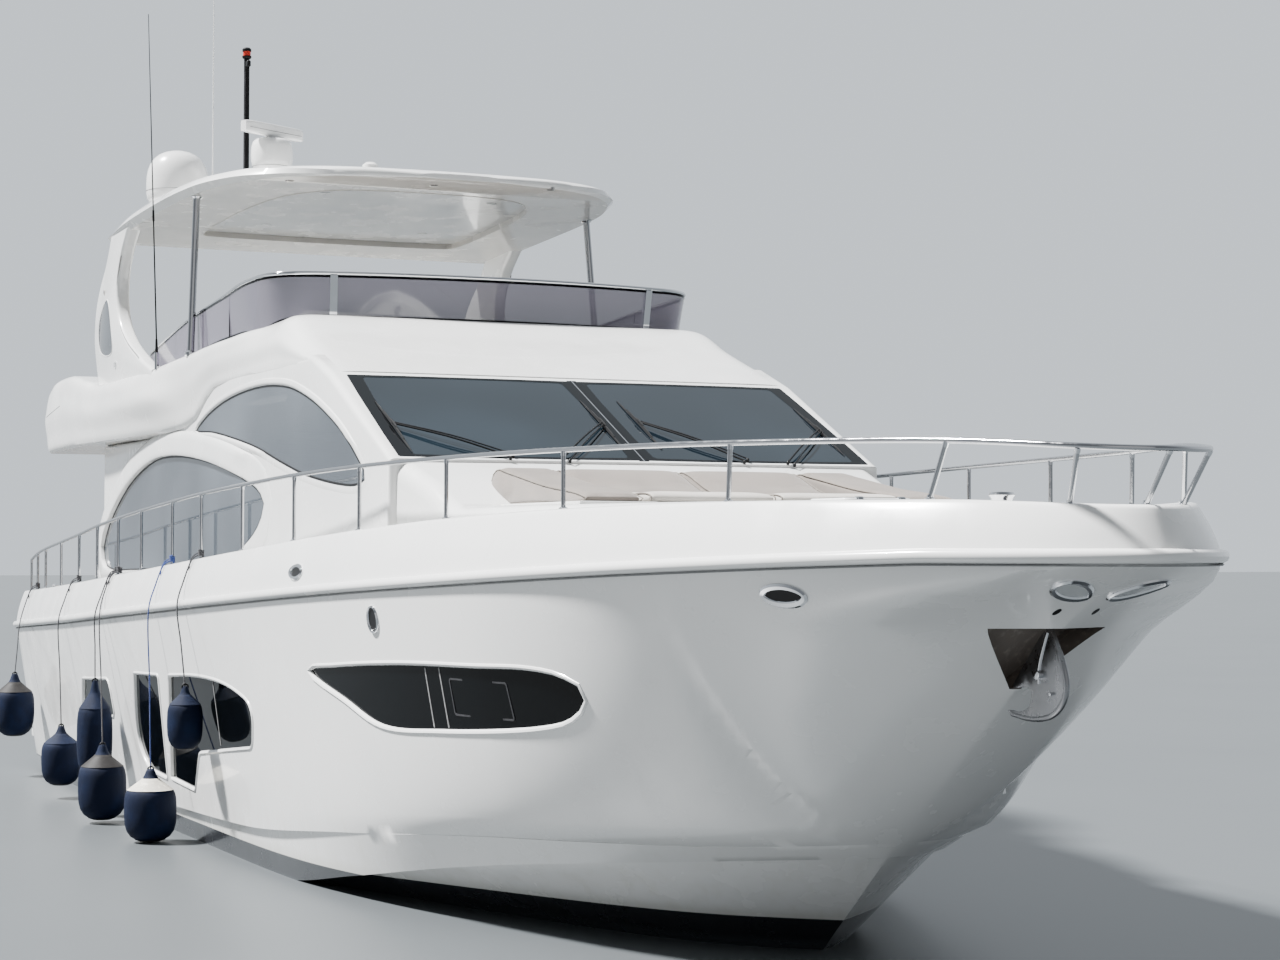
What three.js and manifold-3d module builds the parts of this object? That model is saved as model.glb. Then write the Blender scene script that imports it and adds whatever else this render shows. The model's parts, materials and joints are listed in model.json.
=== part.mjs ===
// Motor yacht with a flybridge, about 24 m long, whole hull with running gear.
// Frame in millimetres: +X to the bow, +Y to port, +Z up, origin amidships
// on the centreline at the waterline.
import * as THREE from 'three';
import { mergeVertices } from 'three/addons/utils/BufferGeometryUtils.js';
import Module from 'manifold-3d';

const wasm = await Module();
wasm.setup();

// Fits
const SEAT = 0.3;
const RUNNING = 0.5;
const CLEAR = 6;

// Hull, in plan and in height
const TRANSOM_X = -10800;
const HULL_STATIONS = 26;
const FULL_TO_X = -4000;
const STERN_TAPER = 0.07;
const NOSE_Z = 3050;
const KNUCKLE_STEM_Z = 940;
const CHINE_STEM_X = 8600;
const CAP_NOSE_X = 11870;
const CAP_WIDTH = 150;
const CAMBER = 0.02;
const RUB_DEPTH = 45;
const RUB_HEIGHT = 90;
const RUB_BEDDING = 12;

// Decks and hollows
const COCKPIT_SOLE_Z = 1850;
const SALOON_FLOOR_Z = 1950;
const SALOON_CEILING_Z = 4280;
const FLY_FLOOR_Z = 4620;
const COCKPIT_AFT_X = -10620;
const WELL_HALF = 2280;
const COCKPIT_HALF = 2350;

// House
const BULKHEAD_AFT_X = -7060;
const BULKHEAD_FORE_X = -6960;
const HOUSE_HALF = 2420;
const HOUSE_INNER = 2300;
const HOUSE_FRONT_X = 4300;
const SEAM_AFT_Z = 4400;
const SEAM_FORE_Z = 4930;
const GLASS = 12;
const REBATE = 40;
const SHIELD_BASE = [4300, 3870];
const SHIELD_TOP = [2550, 4720];
const DOOR_HALF = 1750;
const DOOR_TOP_Z = 4100;

// Running gear
const SHAFT_Y = 1000;
const SHAFT_R = 38;
const PROP_X = -9300;
const PROP_Z = -1300;
const PROP_R = 400;
const SHAFT_RISE = 0.153;
const SHAFT_FORE_X = -4700;
const RUDDER_X = -10050;
const RUDDER_STOCK_R = 38;

// Rails
const RAIL_R = 20;
const STANCHION_R = 18;
const RAIL_STEPS = 76;
const RAIL_SIDES = 6;

// Anchor pocket in the stem: aft and fore ends, half-width and height of its two levels
const POCKET_LOW = { aft: 10000, fore: 10750, half: 45, z: 2150 };
const POCKET_HIGH = { aft: 10300, fore: 11400, half: 465, z: 2575 };
const ANCHOR_HALF = 15;

// Colours
const WHITE = new THREE.MeshStandardMaterial({ color: 0xf2f1ed, roughness: 0.25, metalness: 0 });
const GLASS_DARK = new THREE.MeshStandardMaterial({ color: 0x2a333b, roughness: 0.08, metalness: 0 });
const GLASS_TINT = new THREE.MeshStandardMaterial({ color: 0x6f6a78, roughness: 0.08, metalness: 0 });
const STEEL = new THREE.MeshStandardMaterial({ color: 0xc9ccd0, roughness: 0.2, metalness: 1 });
const BRONZE = new THREE.MeshStandardMaterial({ color: 0xa8824a, roughness: 0.35, metalness: 1 });
const CLOTH = new THREE.MeshStandardMaterial({ color: 0xb3a79b, roughness: 0.85, metalness: 0 });
const VINYL = new THREE.MeshStandardMaterial({ color: 0x1b2740, roughness: 0.6, metalness: 0 });
const BLACK = new THREE.MeshStandardMaterial({ color: 0x1c1d20, roughness: 0.5, metalness: 0 });
const TEAK = new THREE.MeshStandardMaterial({ color: 0xa9794b, roughness: 0.7, metalness: 0 });
const WOOD = new THREE.MeshStandardMaterial({ color: 0x6d4a31, roughness: 0.45, metalness: 0 });

const yacht = new THREE.Group();
const { atan, cos, hypot, max, min, PI, sin } = Math;

// Solids from geometry, and back
function solid(geometry) {
  const bare = geometry.clone();
  bare.deleteAttribute('normal');
  bare.deleteAttribute('uv');
  const merged = mergeVertices(bare, 1e-3);
  const index = Array.from(merged.index.array);
  const kept = [];
  for (let i = 0; i < index.length; i += 3) {
    const [a, b, c] = index.slice(i, i + 3);
    if (a !== b && b !== c && a !== c) kept.push(a, b, c);
  }
  return new wasm.Manifold(new wasm.Mesh({
    numProp: 3,
    vertProperties: new Float32Array(merged.attributes.position.array),
    triVerts: new Uint32Array(kept),
  }));
}

function geometryOf(body) {
  const mesh = body.getMesh();
  const geometry = new THREE.BufferGeometry();
  geometry.setAttribute('position', new THREE.BufferAttribute(new Float32Array(mesh.vertProperties), 3));
  geometry.setIndex(new THREE.BufferAttribute(new Uint32Array(mesh.triVerts), 1));
  geometry.computeVertexNormals();
  return geometry;
}

function add(name, body, material) {
  const mesh = new THREE.Mesh(geometryOf(body), material);
  mesh.name = name;
  yacht.add(mesh);
  return body;
}

// Value of a table of [x, value] rows at x, held level past its ends
function along(table, x) {
  if (x <= table[0][0]) return table[0][1];
  for (let i = 1; i < table.length; i += 1) {
    const [x0, v0] = table[i - 1];
    const [x1, v1] = table[i];
    if (x <= x1) return v0 + (v1 - v0) * (x - x0) / (x1 - x0);
  }
  return table[table.length - 1][1];
}

const mirrored = (points) => points.map(([x, y, z]) => [x, -y, z]);

// Closed loft through rings of equal length, with a fan over each end
function loft(rings) {
  const n = rings[0].length;
  const position = [];
  const triangles = [];
  for (const ring of rings) for (const p of ring) position.push(...p);
  for (let r = 0; r < rings.length - 1; r += 1) {
    const a = r * n;
    const b = a + n;
    for (let i = 0; i < n; i += 1) {
      const j = (i + 1) % n;
      triangles.push(a + i, b + i, b + j, a + i, b + j, a + j);
    }
  }
  for (const [r, turn] of [[0, 1], [rings.length - 1, -1]]) {
    const centre = [0, 1, 2].map((k) => rings[r].reduce((sum, p) => sum + p[k], 0) / n);
    const hub = position.length / 3;
    position.push(...centre);
    for (let i = 0; i < n; i += 1) {
      const j = (i + 1) % n;
      if (turn > 0) triangles.push(hub, r * n + i, r * n + j);
      else triangles.push(hub, r * n + j, r * n + i);
    }
  }
  const geometry = new THREE.BufferGeometry();
  geometry.setAttribute('position', new THREE.Float32BufferAttribute(position, 3));
  geometry.setIndex(triangles);
  const body = solid(geometry);
  return body.volume() < 0 ? solid(flipped(geometry)) : body;
}

function flipped(geometry) {
  const turned = geometry.clone();
  const index = Array.from(geometry.index.array);
  for (let i = 0; i < index.length; i += 3) [index[i + 1], index[i + 2]] = [index[i + 2], index[i + 1]];
  turned.setIndex(index);
  return turned;
}

const outlineShape = (points) => new THREE.Shape(points.map(([a, b]) => new THREE.Vector2(a, b)));

function extruded(points, depth, matrix) {
  const geometry = new THREE.ExtrudeGeometry(outlineShape(points), { depth, bevelEnabled: false, steps: 1 });
  geometry.applyMatrix4(matrix);
  return solid(geometry);
}

// Prisms: an outline in X-Z run along Y, and one in X-Y run along Z
function prismY(points, y0, y1) {
  const frame = new THREE.Matrix4().set(1, 0, 0, 0, 0, 0, -1, y1, 0, 1, 0, 0, 0, 0, 0, 1);
  return extruded(points, y1 - y0, frame);
}

function prismZ(points, z0, z1) {
  return extruded(points, z1 - z0, new THREE.Matrix4().makeTranslation(0, 0, z0));
}

function box(x0, x1, y0, y1, z0, z1) {
  const geometry = new THREE.BoxGeometry(x1 - x0, y1 - y0, z1 - z0);
  geometry.translate((x0 + x1) / 2, (y0 + y1) / 2, (z0 + z1) / 2);
  return solid(geometry);
}

// Round bar or cone between two points
function bar(from, to, r0, r1 = r0, sides = 12) {
  const a = new THREE.Vector3(...from);
  const b = new THREE.Vector3(...to);
  const span = b.clone().sub(a);
  const geometry = new THREE.CylinderGeometry(r1, r0, span.length(), sides);
  const upright = new THREE.Vector3(0, 1, 0);
  geometry.applyQuaternion(new THREE.Quaternion().setFromUnitVectors(upright, span.clone().normalize()));
  const middle = a.add(b).multiplyScalar(0.5);
  geometry.translate(middle.x, middle.y, middle.z);
  return solid(geometry);
}

// Round bar of one radius
const pin = (from, to, radius, sides = 24) => bar(from, to, radius, radius, sides);

// Tube along a smooth curve through points
function tube(points, radius, steps, sides) {
  const places = points.map((p) => new THREE.Vector3(...p));
  const extrudePath = new THREE.CatmullRomCurve3(places, false, 'centripetal');
  const section = [];
  for (let i = 0; i < sides; i += 1) {
    const angle = 2 * PI * i / sides;
    section.push([radius * cos(angle), radius * sin(angle)]);
  }
  const geometry = new THREE.ExtrudeGeometry(outlineShape(section), { steps, bevelEnabled: false, extrudePath });
  const body = solid(geometry);
  return body.volume() < 0 ? solid(flipped(mergeVertices(geometry))) : body;
}

// Body turned about an upright axis, from [radius, height] rows
function turned(profile, x, y, z, sides = 18) {
  const geometry = new THREE.LatheGeometry(profile.map(([r, h]) => new THREE.Vector2(r, h)), sides);
  geometry.rotateX(PI / 2);
  geometry.translate(x, y, z);
  const body = solid(geometry);
  return body.volume() < 0 ? solid(flipped(mergeVertices(geometry))) : body;
}

const union = (bodies) => bodies.reduce((sum, body) => sum.add(body));
const moved = (body, x, y, z) => body.translate([x, y, z]);
const bothSides = (make) => [['starboard', -1], ['port', 1]].forEach(([side, sign]) => make(side, sign));

// Leaves the seat gap between a body and the piece that it rests on
function seated(body, carrier, directions) {
  const away = directions.map((way) => moved(carrier, ...way.map((step) => step * SEAT)));
  return away.reduce((rest, tool) => rest.subtract(tool), body);
}
const ON_TOP = [[0, 0, 1]];
const BESIDE = [[1, 0, 0], [0, 1, 0], [0, -1, 0]];
const ON_TOP_AND_BESIDE = [[1, 0, 1], [-1, 0, 1], [0, 1, 1], [0, -1, 1]];
const ALL_ROUND = [...ON_TOP_AND_BESIDE, [0, 0, -1]];

// Hull lines: height along the hull
const KEEL = [[-10800, -740], [-6000, -950], [0, -1120], [4000, -1120], [5200, -1040], [6200, -860],
  [6900, -580], [7300, -300], [7620, 0], [8170, 460], [8600, 820]];
const CHINE = [[-10800, -250], [-4000, -200], [0, -120], [2000, -10], [3500, 200], [5650, 520],
  [6900, 660], [8030, 770], [8600, 820]];
const KNUCKLE = [[-10800, 180], [-2400, 300], [800, 380], [3600, 600], [5900, 785], [7000, 840],
  [8100, 890], [8750, 940]];
const RUB = [[-10800, 2020], [-6400, 2210], [-3500, 2360], [-400, 2520], [2700, 2680], [4400, 2765],
  [6200, 2850], [7800, 2925], [8600, 2960], [10000, 3015], [11000, 3050]];
const CAP = [[-10700, 2480], [-8800, 2550], [-6300, 2660], [-3900, 2785], [-1400, 2920], [1250, 3070],
  [4400, 3250], [6100, 3330], [7700, 3380], [9400, 3405], [10900, 3400], [11800, 3360]];
const CAP_ABOVE_DECK = [[2000, 420], [5000, 130]];

const STEM = [[0, 7620], [940, 8750], [2060, 10190], [2570, 10860], [2800, 11300], [3050, 12000]];
const stemX = (z) => along(STEM, z);

// Plan form of each line: half-beam, run to full beam, fullness, bluntness at the stem
const FORMS = {
  chine: [2600, 8000, 2.6, 1.45],
  knuckle: [2720, 8000, 2.6, 1.6],
  rub: [3040, 15000, 3.0, 1.75],
  cap: [2920, 15000, 3.0, 1.65],
  deck: [2770, 14850, 3.0, 1.65],
};

function halfBreadth([beam, run, fullness, bluntness], x, noseX) {
  const ahead = min(max((noseX - x) / run, 0), 1);
  const bow = (1 - (1 - ahead) ** fullness) ** (1 / bluntness);
  const aft = max(FULL_TO_X - x, 0) / (FULL_TO_X - TRANSOM_X);
  return beam * bow * (1 - STERN_TAPER * aft * aft);
}

// A point of a hull line at u, 0 at the transom and 1 at the stem
function linePoint(form, heights, noseX, u) {
  const x = TRANSOM_X + (noseX - TRANSOM_X) * u;
  return [x, halfBreadth(form, x, noseX), heights(x)];
}

const onChine = (u) => linePoint(FORMS.chine, (x) => along(CHINE, x), CHINE_STEM_X, u);
const onKnuckle = (u) => linePoint(FORMS.knuckle, (x) => along(KNUCKLE, x), stemX(KNUCKLE_STEM_Z), u);
const onRub = (u) => linePoint(FORMS.rub, (x) => along(RUB, x), stemX(NOSE_Z), u);
const onCap = (u) => linePoint(FORMS.cap, (x) => along(CAP, x), CAP_NOSE_X, u);
const onCapInner = (u) => linePoint(FORMS.deck, (x) => along(CAP, x), CAP_NOSE_X - CAP_WIDTH, u);
const deckZ = (x) => along(CAP, x) - along(CAP_ABOVE_DECK, x);
const onDeckEdge = (u) => linePoint(FORMS.deck, deckZ, CAP_NOSE_X - CAP_WIDTH, u);

// Topside from knuckle to rub rail: how soon it fills out along x, and its wedge behind the stem by height
const FILL_POWER = [[1000, 1], [6500, 0.5]];
const WEDGE_WIDTH = [[0, 2200], [0.75, 2000], [1, 4000]];
const WEDGE_POWER = [[0, 0.6], [0.75, 0.9], [1, 0.6]];
const WEDGE_BLEND = 5;

function onTopside(v, u) {
  const noseX = stemX(KNUCKLE_STEM_Z + (NOSE_Z - KNUCKLE_STEM_Z) * v);
  const x = TRANSOM_X + (noseX - TRANSOM_X) * u;
  const height = along(KNUCKLE, x) * (1 - v) + along(RUB, x) * v;
  if (u >= 1) return [x, 0, height];
  const low = halfBreadth(FORMS.knuckle, x, stemX(KNUCKLE_STEM_Z));
  const high = halfBreadth(FORMS.rub, x, stemX(NOSE_Z));
  const side = low + (high - low) * v ** along(FILL_POWER, x);
  const wedge = along(WEDGE_WIDTH, v) * ((noseX - x) / 1000) ** along(WEDGE_POWER, v);
  return [x, (side ** -WEDGE_BLEND + wedge ** -WEDGE_BLEND) ** (-1 / WEDGE_BLEND), height];
}

function stations(count) {
  return Array.from({ length: count + 1 }, (_, i) => 1 - (1 - i / count) ** 2);
}

const TOPSIDE_ROWS = [0.25, 0.5, 0.75, 0.9];
function hullBody() {
  const rings = stations(HULL_STATIONS).map((u) => {
    const keelX = TRANSOM_X + (CHINE_STEM_X - TRANSOM_X) * u;
    const side = [onChine(u), onKnuckle(u), ...TOPSIDE_ROWS.map((v) => onTopside(v, u)), onRub(u), onDeckEdge(u)];
    const [deckX, deckY, deckHeight] = onDeckEdge(u);
    const crown = [deckX, 0, deckHeight + CAMBER * deckY];
    return [[keelX, 0, along(KEEL, keelX)], ...side, crown, ...mirrored(side).reverse()];
  });
  return loft(rings);
}

const hullWhole = hullBody();
const cockpitWell = box(COCKPIT_AFT_X, BULKHEAD_AFT_X, -COCKPIT_HALF, COCKPIT_HALF, COCKPIT_SOLE_Z, 4000);
const saloonWell = box(BULKHEAD_AFT_X - 1, 3900, -WELL_HALF, WELL_HALF, SALOON_FLOOR_Z, 4000);
const hullOpen = hullWhole.subtract(cockpitWell).subtract(saloonWell);

// Garage door in the transom, hinged along its top edge
const GARAGE_HALF = 1500;
const GARAGE_Z0 = 620;
const GARAGE_Z1 = 1620;
const GARAGE_DEPTH = 60;
const HINGE_R = 14;
const HINGE_X = TRANSOM_X + 24;
const HINGE_Z = GARAGE_Z1 - 30;
const HINGE_REACH = 30;
const garageRecess = box(TRANSOM_X - 10, TRANSOM_X + GARAGE_DEPTH + CLEAR, -GARAGE_HALF - CLEAR,
  GARAGE_HALF + CLEAR, GARAGE_Z0 - CLEAR, GARAGE_Z1 + CLEAR);
const hingeBar = (half, radius) => pin([HINGE_X, -half, HINGE_Z], [HINGE_X, half, HINGE_Z], radius);
const hingeHole = hingeBar(GARAGE_HALF + HINGE_REACH + 2, HINGE_R + SEAT);
const GARAGE_PLATE = 34;
const PLATE_SET = 4;
const PLATE_TOP_Z = GARAGE_Z1 - 12;
const garageDoor = box(TRANSOM_X + PLATE_SET, TRANSOM_X + PLATE_SET + GARAGE_PLATE, -GARAGE_HALF, GARAGE_HALF,
  GARAGE_Z0, PLATE_TOP_Z).add(hingeBar(GARAGE_HALF + HINGE_REACH, HINGE_R));

// Shaft line and rudder stocks through the bottom
const shaftZ = (x) => PROP_Z + (x - PROP_X) * SHAFT_RISE;
const onShaft = (x, sign) => [x, sign * SHAFT_Y, shaftZ(x)];
const RUDDER_TOP_Z = -250;
let hull = hullOpen.subtract(garageRecess).subtract(hingeHole);
for (const sign of [-1, 1]) {
  const onStock = (z) => [RUDDER_X, sign * SHAFT_Y, z];
  const bore = (aft, fore) => {
    const ends = [aft, fore].map((past) => onShaft(SHAFT_FORE_X + past, sign));
    return pin(...ends, SHAFT_R + RUNNING);
  };
  hull = hull.subtract(bore(-200, 20));
  hull = hull.subtract(bore(-1400, -190));
  hull = hull.subtract(pin(onStock(-1200), onStock(RUDDER_TOP_Z + 20), RUDDER_STOCK_R + RUNNING));
}

// Anchor pocket, wider toward its roof
const pocketCut = loft([POCKET_LOW, POCKET_HIGH].map(({ aft, fore, half, z }) => [
  [aft, -half, z],
  [fore, -half, z],
  [fore, half, z],
  [aft, half, z],
]));
hull = hull.subtract(pocketCut);
add('hull', hull, WHITE);

// Bulwark with its cap, run round the bow, and the transom coaming
function bandRing(u, sign) {
  const outer = onRub(u);
  const lift = ([x, y, z]) => [x, y, z + SEAT];
  return [lift(outer), onCap(u), onCapInner(u), lift(onDeckEdge(u))].map(([x, y, z]) => [x, sign * y, z]);
}

function roundTheBow(ringAt, count) {
  const forward = stations(count).map((u) => ringAt(u, -1));
  const back = stations(count).slice(0, -1).reverse().map((u) => ringAt(u, 1));
  return loft([...forward, ...back]);
}

const COAMING = { fore: -10640, half: 2640, low: 1900, high: 2480 };
const transomCoaming = box(TRANSOM_X, COAMING.fore, -COAMING.half, COAMING.half, COAMING.low, COAMING.high);
const bulwarkBand = roundTheBow(bandRing, HULL_STATIONS);
const bulwark = seated(bulwarkBand.add(transomCoaming), hullOpen, ON_TOP_AND_BESIDE);
add('bulwark', bulwark, WHITE);

// Rub rail
function rubRing(u, sign) {
  const [x, y, z] = onRub(u);
  const [xa, ya] = onRub(max(u - 0.002, 0));
  const [xb, yb] = onRub(min(u + 0.002, 1));
  const run = hypot(xb - xa, yb - ya) || 1;
  const out = u >= 1 ? [1, 0] : [-(yb - ya) / run, (xb - xa) / run];
  const section = [[-RUB_BEDDING, -RUB_HEIGHT / 2], [RUB_DEPTH, -RUB_HEIGHT / 4], [RUB_DEPTH, RUB_HEIGHT / 4],
    [-RUB_BEDDING, RUB_HEIGHT / 2]];
  return section.map(([d, h]) => [x + out[0] * d, sign * (y + out[1] * d), z + h]);
}
const rubBand = seated(roundTheBow(rubRing, HULL_STATIONS), bulwarkBand, BESIDE);
add('rub_rail', seated(rubBand, hullWhole, BESIDE), WHITE);

// Swim platform
const PLATFORM_TOP_Z = 500;
const PLATFORM_THICK = 120;
const PLATFORM = [[-10800.3, -2450], [-11600, -2450], [-11900, -2300], [-12000, -2000],
  [-12000, 2000], [-11900, 2300], [-11600, 2450], [-10800.3, 2450]];
add('swim_platform', prismZ(PLATFORM, PLATFORM_TOP_Z - PLATFORM_THICK, PLATFORM_TOP_Z), TEAK);
add('garage_door', garageDoor, WHITE);

// Deckhouse: side view, cut hollow, with its windows
const FLOOR_BOTTOM = SALOON_FLOOR_Z - 50;
const HOUSE_PROFILE = [[BULKHEAD_AFT_X, FLOOR_BOTTOM], [HOUSE_FRONT_X, FLOOR_BOTTOM], SHIELD_BASE, SHIELD_TOP,
  [1970, SEAM_FORE_Z - SEAT], [-2300, SEAM_FORE_Z - SEAT], [-3600, SEAM_AFT_Z - SEAT],
  [BULKHEAD_AFT_X, SEAM_AFT_Z - SEAT]];
const SALOON_PROFILE = [[BULKHEAD_FORE_X, 1000], [4180, 1000], [4180, 3815], [2440, 4660], [500, 4620],
  [0, SALOON_CEILING_Z], [BULKHEAD_FORE_X, SALOON_CEILING_Z]];

// Arched side windows, aft and forward, as X-Z outlines
const ARCH_AFT = [[-7000, 3120], [-6850, 3290], [-6440, 3530], [-5740, 3820], [-4960, 4020], [-4210, 4130],
  [-3390, 4150], [-2430, 4100], [-1340, 3980], [-330, 3810], [230, 3670], [420, 3540], [310, 3390],
  [10, 3220], [-700, 3020], [-2400, 2900], [-5500, 2820], [-6500, 2820], [-6900, 2900]];
const ARCH_FORE = [[-2340, 4390], [-1980, 4510], [-1360, 4630], [-680, 4700], [50, 4730], [660, 4720],
  [1320, 4660], [2030, 4500], [2550, 4330], [2990, 4150], [3470, 3880], [3670, 3730], [3590, 3680],
  [3350, 3650], [2870, 3670], [1850, 3780], [1050, 3920], [140, 4100], [-830, 4240], [-1610, 4330]];

// Outline moved inward by a distance, whichever way it turns
function inset(points, distance) {
  const n = points.length;
  const next = (i) => points[(i + 1) % n];
  const area = points.reduce((sum, [x, y], i) => sum + x * next(i)[1] - next(i)[0] * y, 0);
  const turn = area > 0 ? 1 : -1;
  return points.map(([x, y], i) => {
    const [px, py] = points[(i + n - 1) % n];
    const [qx, qy] = points[(i + 1) % n];
    const before = hypot(x - px, y - py);
    const after = hypot(qx - x, qy - y);
    const nx = -((y - py) / before + (qy - y) / after);
    const ny = (x - px) / before + (qx - x) / after;
    const size = hypot(nx, ny);
    return [x + turn * distance * nx / size, y + turn * distance * ny / size];
  });
}

// Fly moulding: stations with half-width, tuck of the lower edge, bottom and top
const FLY_STATIONS = [
  [-9650, 2560, 60, 4620, 4900],
  [-9500, 2690, 60, 4440, 5060],
  [-9250, 2740, 60, 4370, 5230],
  [-8850, 2745, 60, 4380, 5330],
  [-8100, 2745, 60, 4390, 5350],
  [-7200, 2740, 60, 4400, 5240],
  [-6200, 2720, 70, 4400, 5130],
  [-5000, 2660, 90, 4400, 5150],
  [-3600, 2600, 130, 4400, 5200],
  [-2300, 2560, 130, 4930, 5260],
  [-900, 2480, 60, 4930, 5330],
  [200, 2430, 10, 4930, 5400],
  [720, 2400, 0, 4930, 5430],
  [1350, 2385, 0, 4930, 5185],
  [1970, 2370, 0, 4930, 4946],
];
const flyRings = FLY_STATIONS.map(([x, half, tuck, low, high]) => {
  const rise = high - low;
  const edge = [[half - tuck, low], [half, low + rise * 0.45], [half - 15, low + rise * 0.8], [half - 80, high]];
  const port = edge.map(([y, z]) => [x, y, z]);
  return [...port, ...mirrored(port).reverse()];
});
const flyBlock = loft(flyRings);
const FLY_WELL_SIDE = [[-9200, 2000], [-8900, 2300], [-6000, 2330], [-3500, 2230], [-600, 2210], [50, 1900],
  [250, 1000]];
const FLY_WELL = [...FLY_WELL_SIDE.map(([x, y]) => [x, -y]), ...[...FLY_WELL_SIDE].reverse()];
const flyWell = prismZ(FLY_WELL, FLY_FLOOR_Z, 6500);
const STAIR_HATCH = [-8750, -7150, 950, 1850];
const stairHatch = box(...STAIR_HATCH, 4000, 4700);

const houseBlock = prismY(HOUSE_PROFILE, -HOUSE_HALF, HOUSE_HALF);
const saloonVoid = prismY(SALOON_PROFILE, -HOUSE_INNER, HOUSE_INNER);
const saloonReach = prismY(SALOON_PROFILE, -HOUSE_HALF - 50, HOUSE_HALF + 50);
let house = houseBlock.subtract(saloonVoid).subtract(flyWell);
house = seated(house, hullOpen, ON_TOP_AND_BESIDE);

// Side glass in its rebates
bothSides((side, sign) => {
  for (const [place, outline] of [['aft', ARCH_AFT], ['fore', ARCH_FORE]]) {
    const outer = sign * (HOUSE_HALF + 5);
    const bed = sign * (HOUSE_HALF - GLASS - 2 * SEAT);
    const span = (a, b) => [min(a, b), max(a, b)];
    house = house.subtract(prismY(outline, ...span(bed, outer)));
    const opening = prismY(inset(outline, REBATE), ...span(sign * (HOUSE_INNER - 60), outer));
    house = house.subtract(opening.intersect(saloonReach));
    const face = sign * (HOUSE_HALF - SEAT);
    const glass = prismY(inset(outline, SEAT), ...span(face - sign * GLASS, face));
    add(`side_window_${place}_${side}`, glass, GLASS_DARK);
  }
});

// Windshield panes, in a frame on the slope: Y, up the slope, and outward
const shieldRun = [SHIELD_TOP[0] - SHIELD_BASE[0], SHIELD_TOP[1] - SHIELD_BASE[1]];
const SHIELD_LENGTH = hypot(...shieldRun);
const up = [shieldRun[0] / SHIELD_LENGTH, shieldRun[1] / SHIELD_LENGTH];
const out = [up[1], -up[0]];
function onShield(points, low, high) {
  const frame = new THREE.Matrix4().set(
    0, up[0], out[0], SHIELD_BASE[0] + out[0] * low,
    1, 0, 0, 0,
    0, up[1], out[1], SHIELD_BASE[1] + out[1] * low,
    0, 0, 0, 1,
  );
  return extruded(points, high - low, frame);
}
const PANE_FOOT = 30;
const PANE_HEAD = SHIELD_LENGTH - 30;
const MULLION_HALF = 30;
const PANE = [[MULLION_HALF, PANE_FOOT], [2330, PANE_FOOT], [2270, PANE_HEAD], [MULLION_HALF, PANE_HEAD]];
bothSides((side, sign) => {
  const outline = sign > 0 ? PANE : PANE.map(([y, s]) => [-y, s]).reverse();
  house = house.subtract(onShield(outline, -GLASS - 2 * SEAT, 20));
  house = house.subtract(onShield(inset(outline, REBATE), -300, 20));
  add(`windshield_${side}`, onShield(inset(outline, SEAT), -GLASS - SEAT, -SEAT), GLASS_DARK);
});

// Aft doorway
const doorway = box(BULKHEAD_AFT_X - 10, BULKHEAD_FORE_X + 10, -DOOR_HALF, DOOR_HALF, 1000, DOOR_TOP_Z);
house = house.subtract(doorway);
add('deckhouse', house, WHITE);

const DOOR_GLASS = 30;
const DOOR_LAP = 40;
const DOOR_SET = 10;
const FIXED_AFT_X = BULKHEAD_AFT_X + DOOR_SET;
const SLIDING_FORE_X = BULKHEAD_FORE_X - DOOR_SET;
add('saloon_door_fixed', box(FIXED_AFT_X, FIXED_AFT_X + DOOR_GLASS, 0, DOOR_HALF - SEAT,
  SALOON_FLOOR_Z + SEAT, DOOR_TOP_Z - SEAT), GLASS_DARK);
add('saloon_door', box(SLIDING_FORE_X - DOOR_GLASS, SLIDING_FORE_X, CLEAR - DOOR_HALF, DOOR_LAP,
  SALOON_FLOOR_Z + SEAT, DOOR_TOP_Z - CLEAR), GLASS_DARK);

// Fly moulding over the house and the cockpit
const fly = flyBlock.subtract(flyWell).subtract(stairHatch);
add('flybridge', fly, WHITE);

// Foredeck trunk and its seat
const TRUNK_PROFILE = [[4300.3, 2500], [4300.3, 3840], [4900, 3640], [5300, 3440], [7400, 3440], [9200, 3440],
  [9600, 3380], [9700, 2500]];
const TRUNK_PLAN = [[4300.3, -2350], [6000, -2150], [7600, -1700], [8800, -1150], [9500, -650], [9700, 0],
  [9500, 650], [8800, 1150], [7600, 1700], [6000, 2150], [4300.3, 2350]];
const trunkBlock = prismY(TRUNK_PROFILE, -2600, 2600).intersect(prismZ(TRUNK_PLAN, 2400, 4000));
const trunk = seated(trunkBlock, hullOpen, ON_TOP_AND_BESIDE);
add('foredeck_trunk', trunk, WHITE);

const SEAT_TOP_Z = 3780;
const PAD_BACK = [[4760, 3500], [5800, 3440.3], [5800, 3520], [5050, SEAT_TOP_Z], [4900, 3770]];
const PAD_ARM = [[4760, 3500], [6900, 3440.3], [6900, 3490], [6700, 3530], [5050, SEAT_TOP_Z], [4900, 3770]];
const padArms = prismY(PAD_ARM, -1720, -1150).add(prismY(PAD_ARM, 1150, 1720));
const pad = prismY(PAD_BACK, -1200, 1200).add(padArms);
add('sunpad', seated(pad, trunk, ON_TOP), CLOTH);

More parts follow.
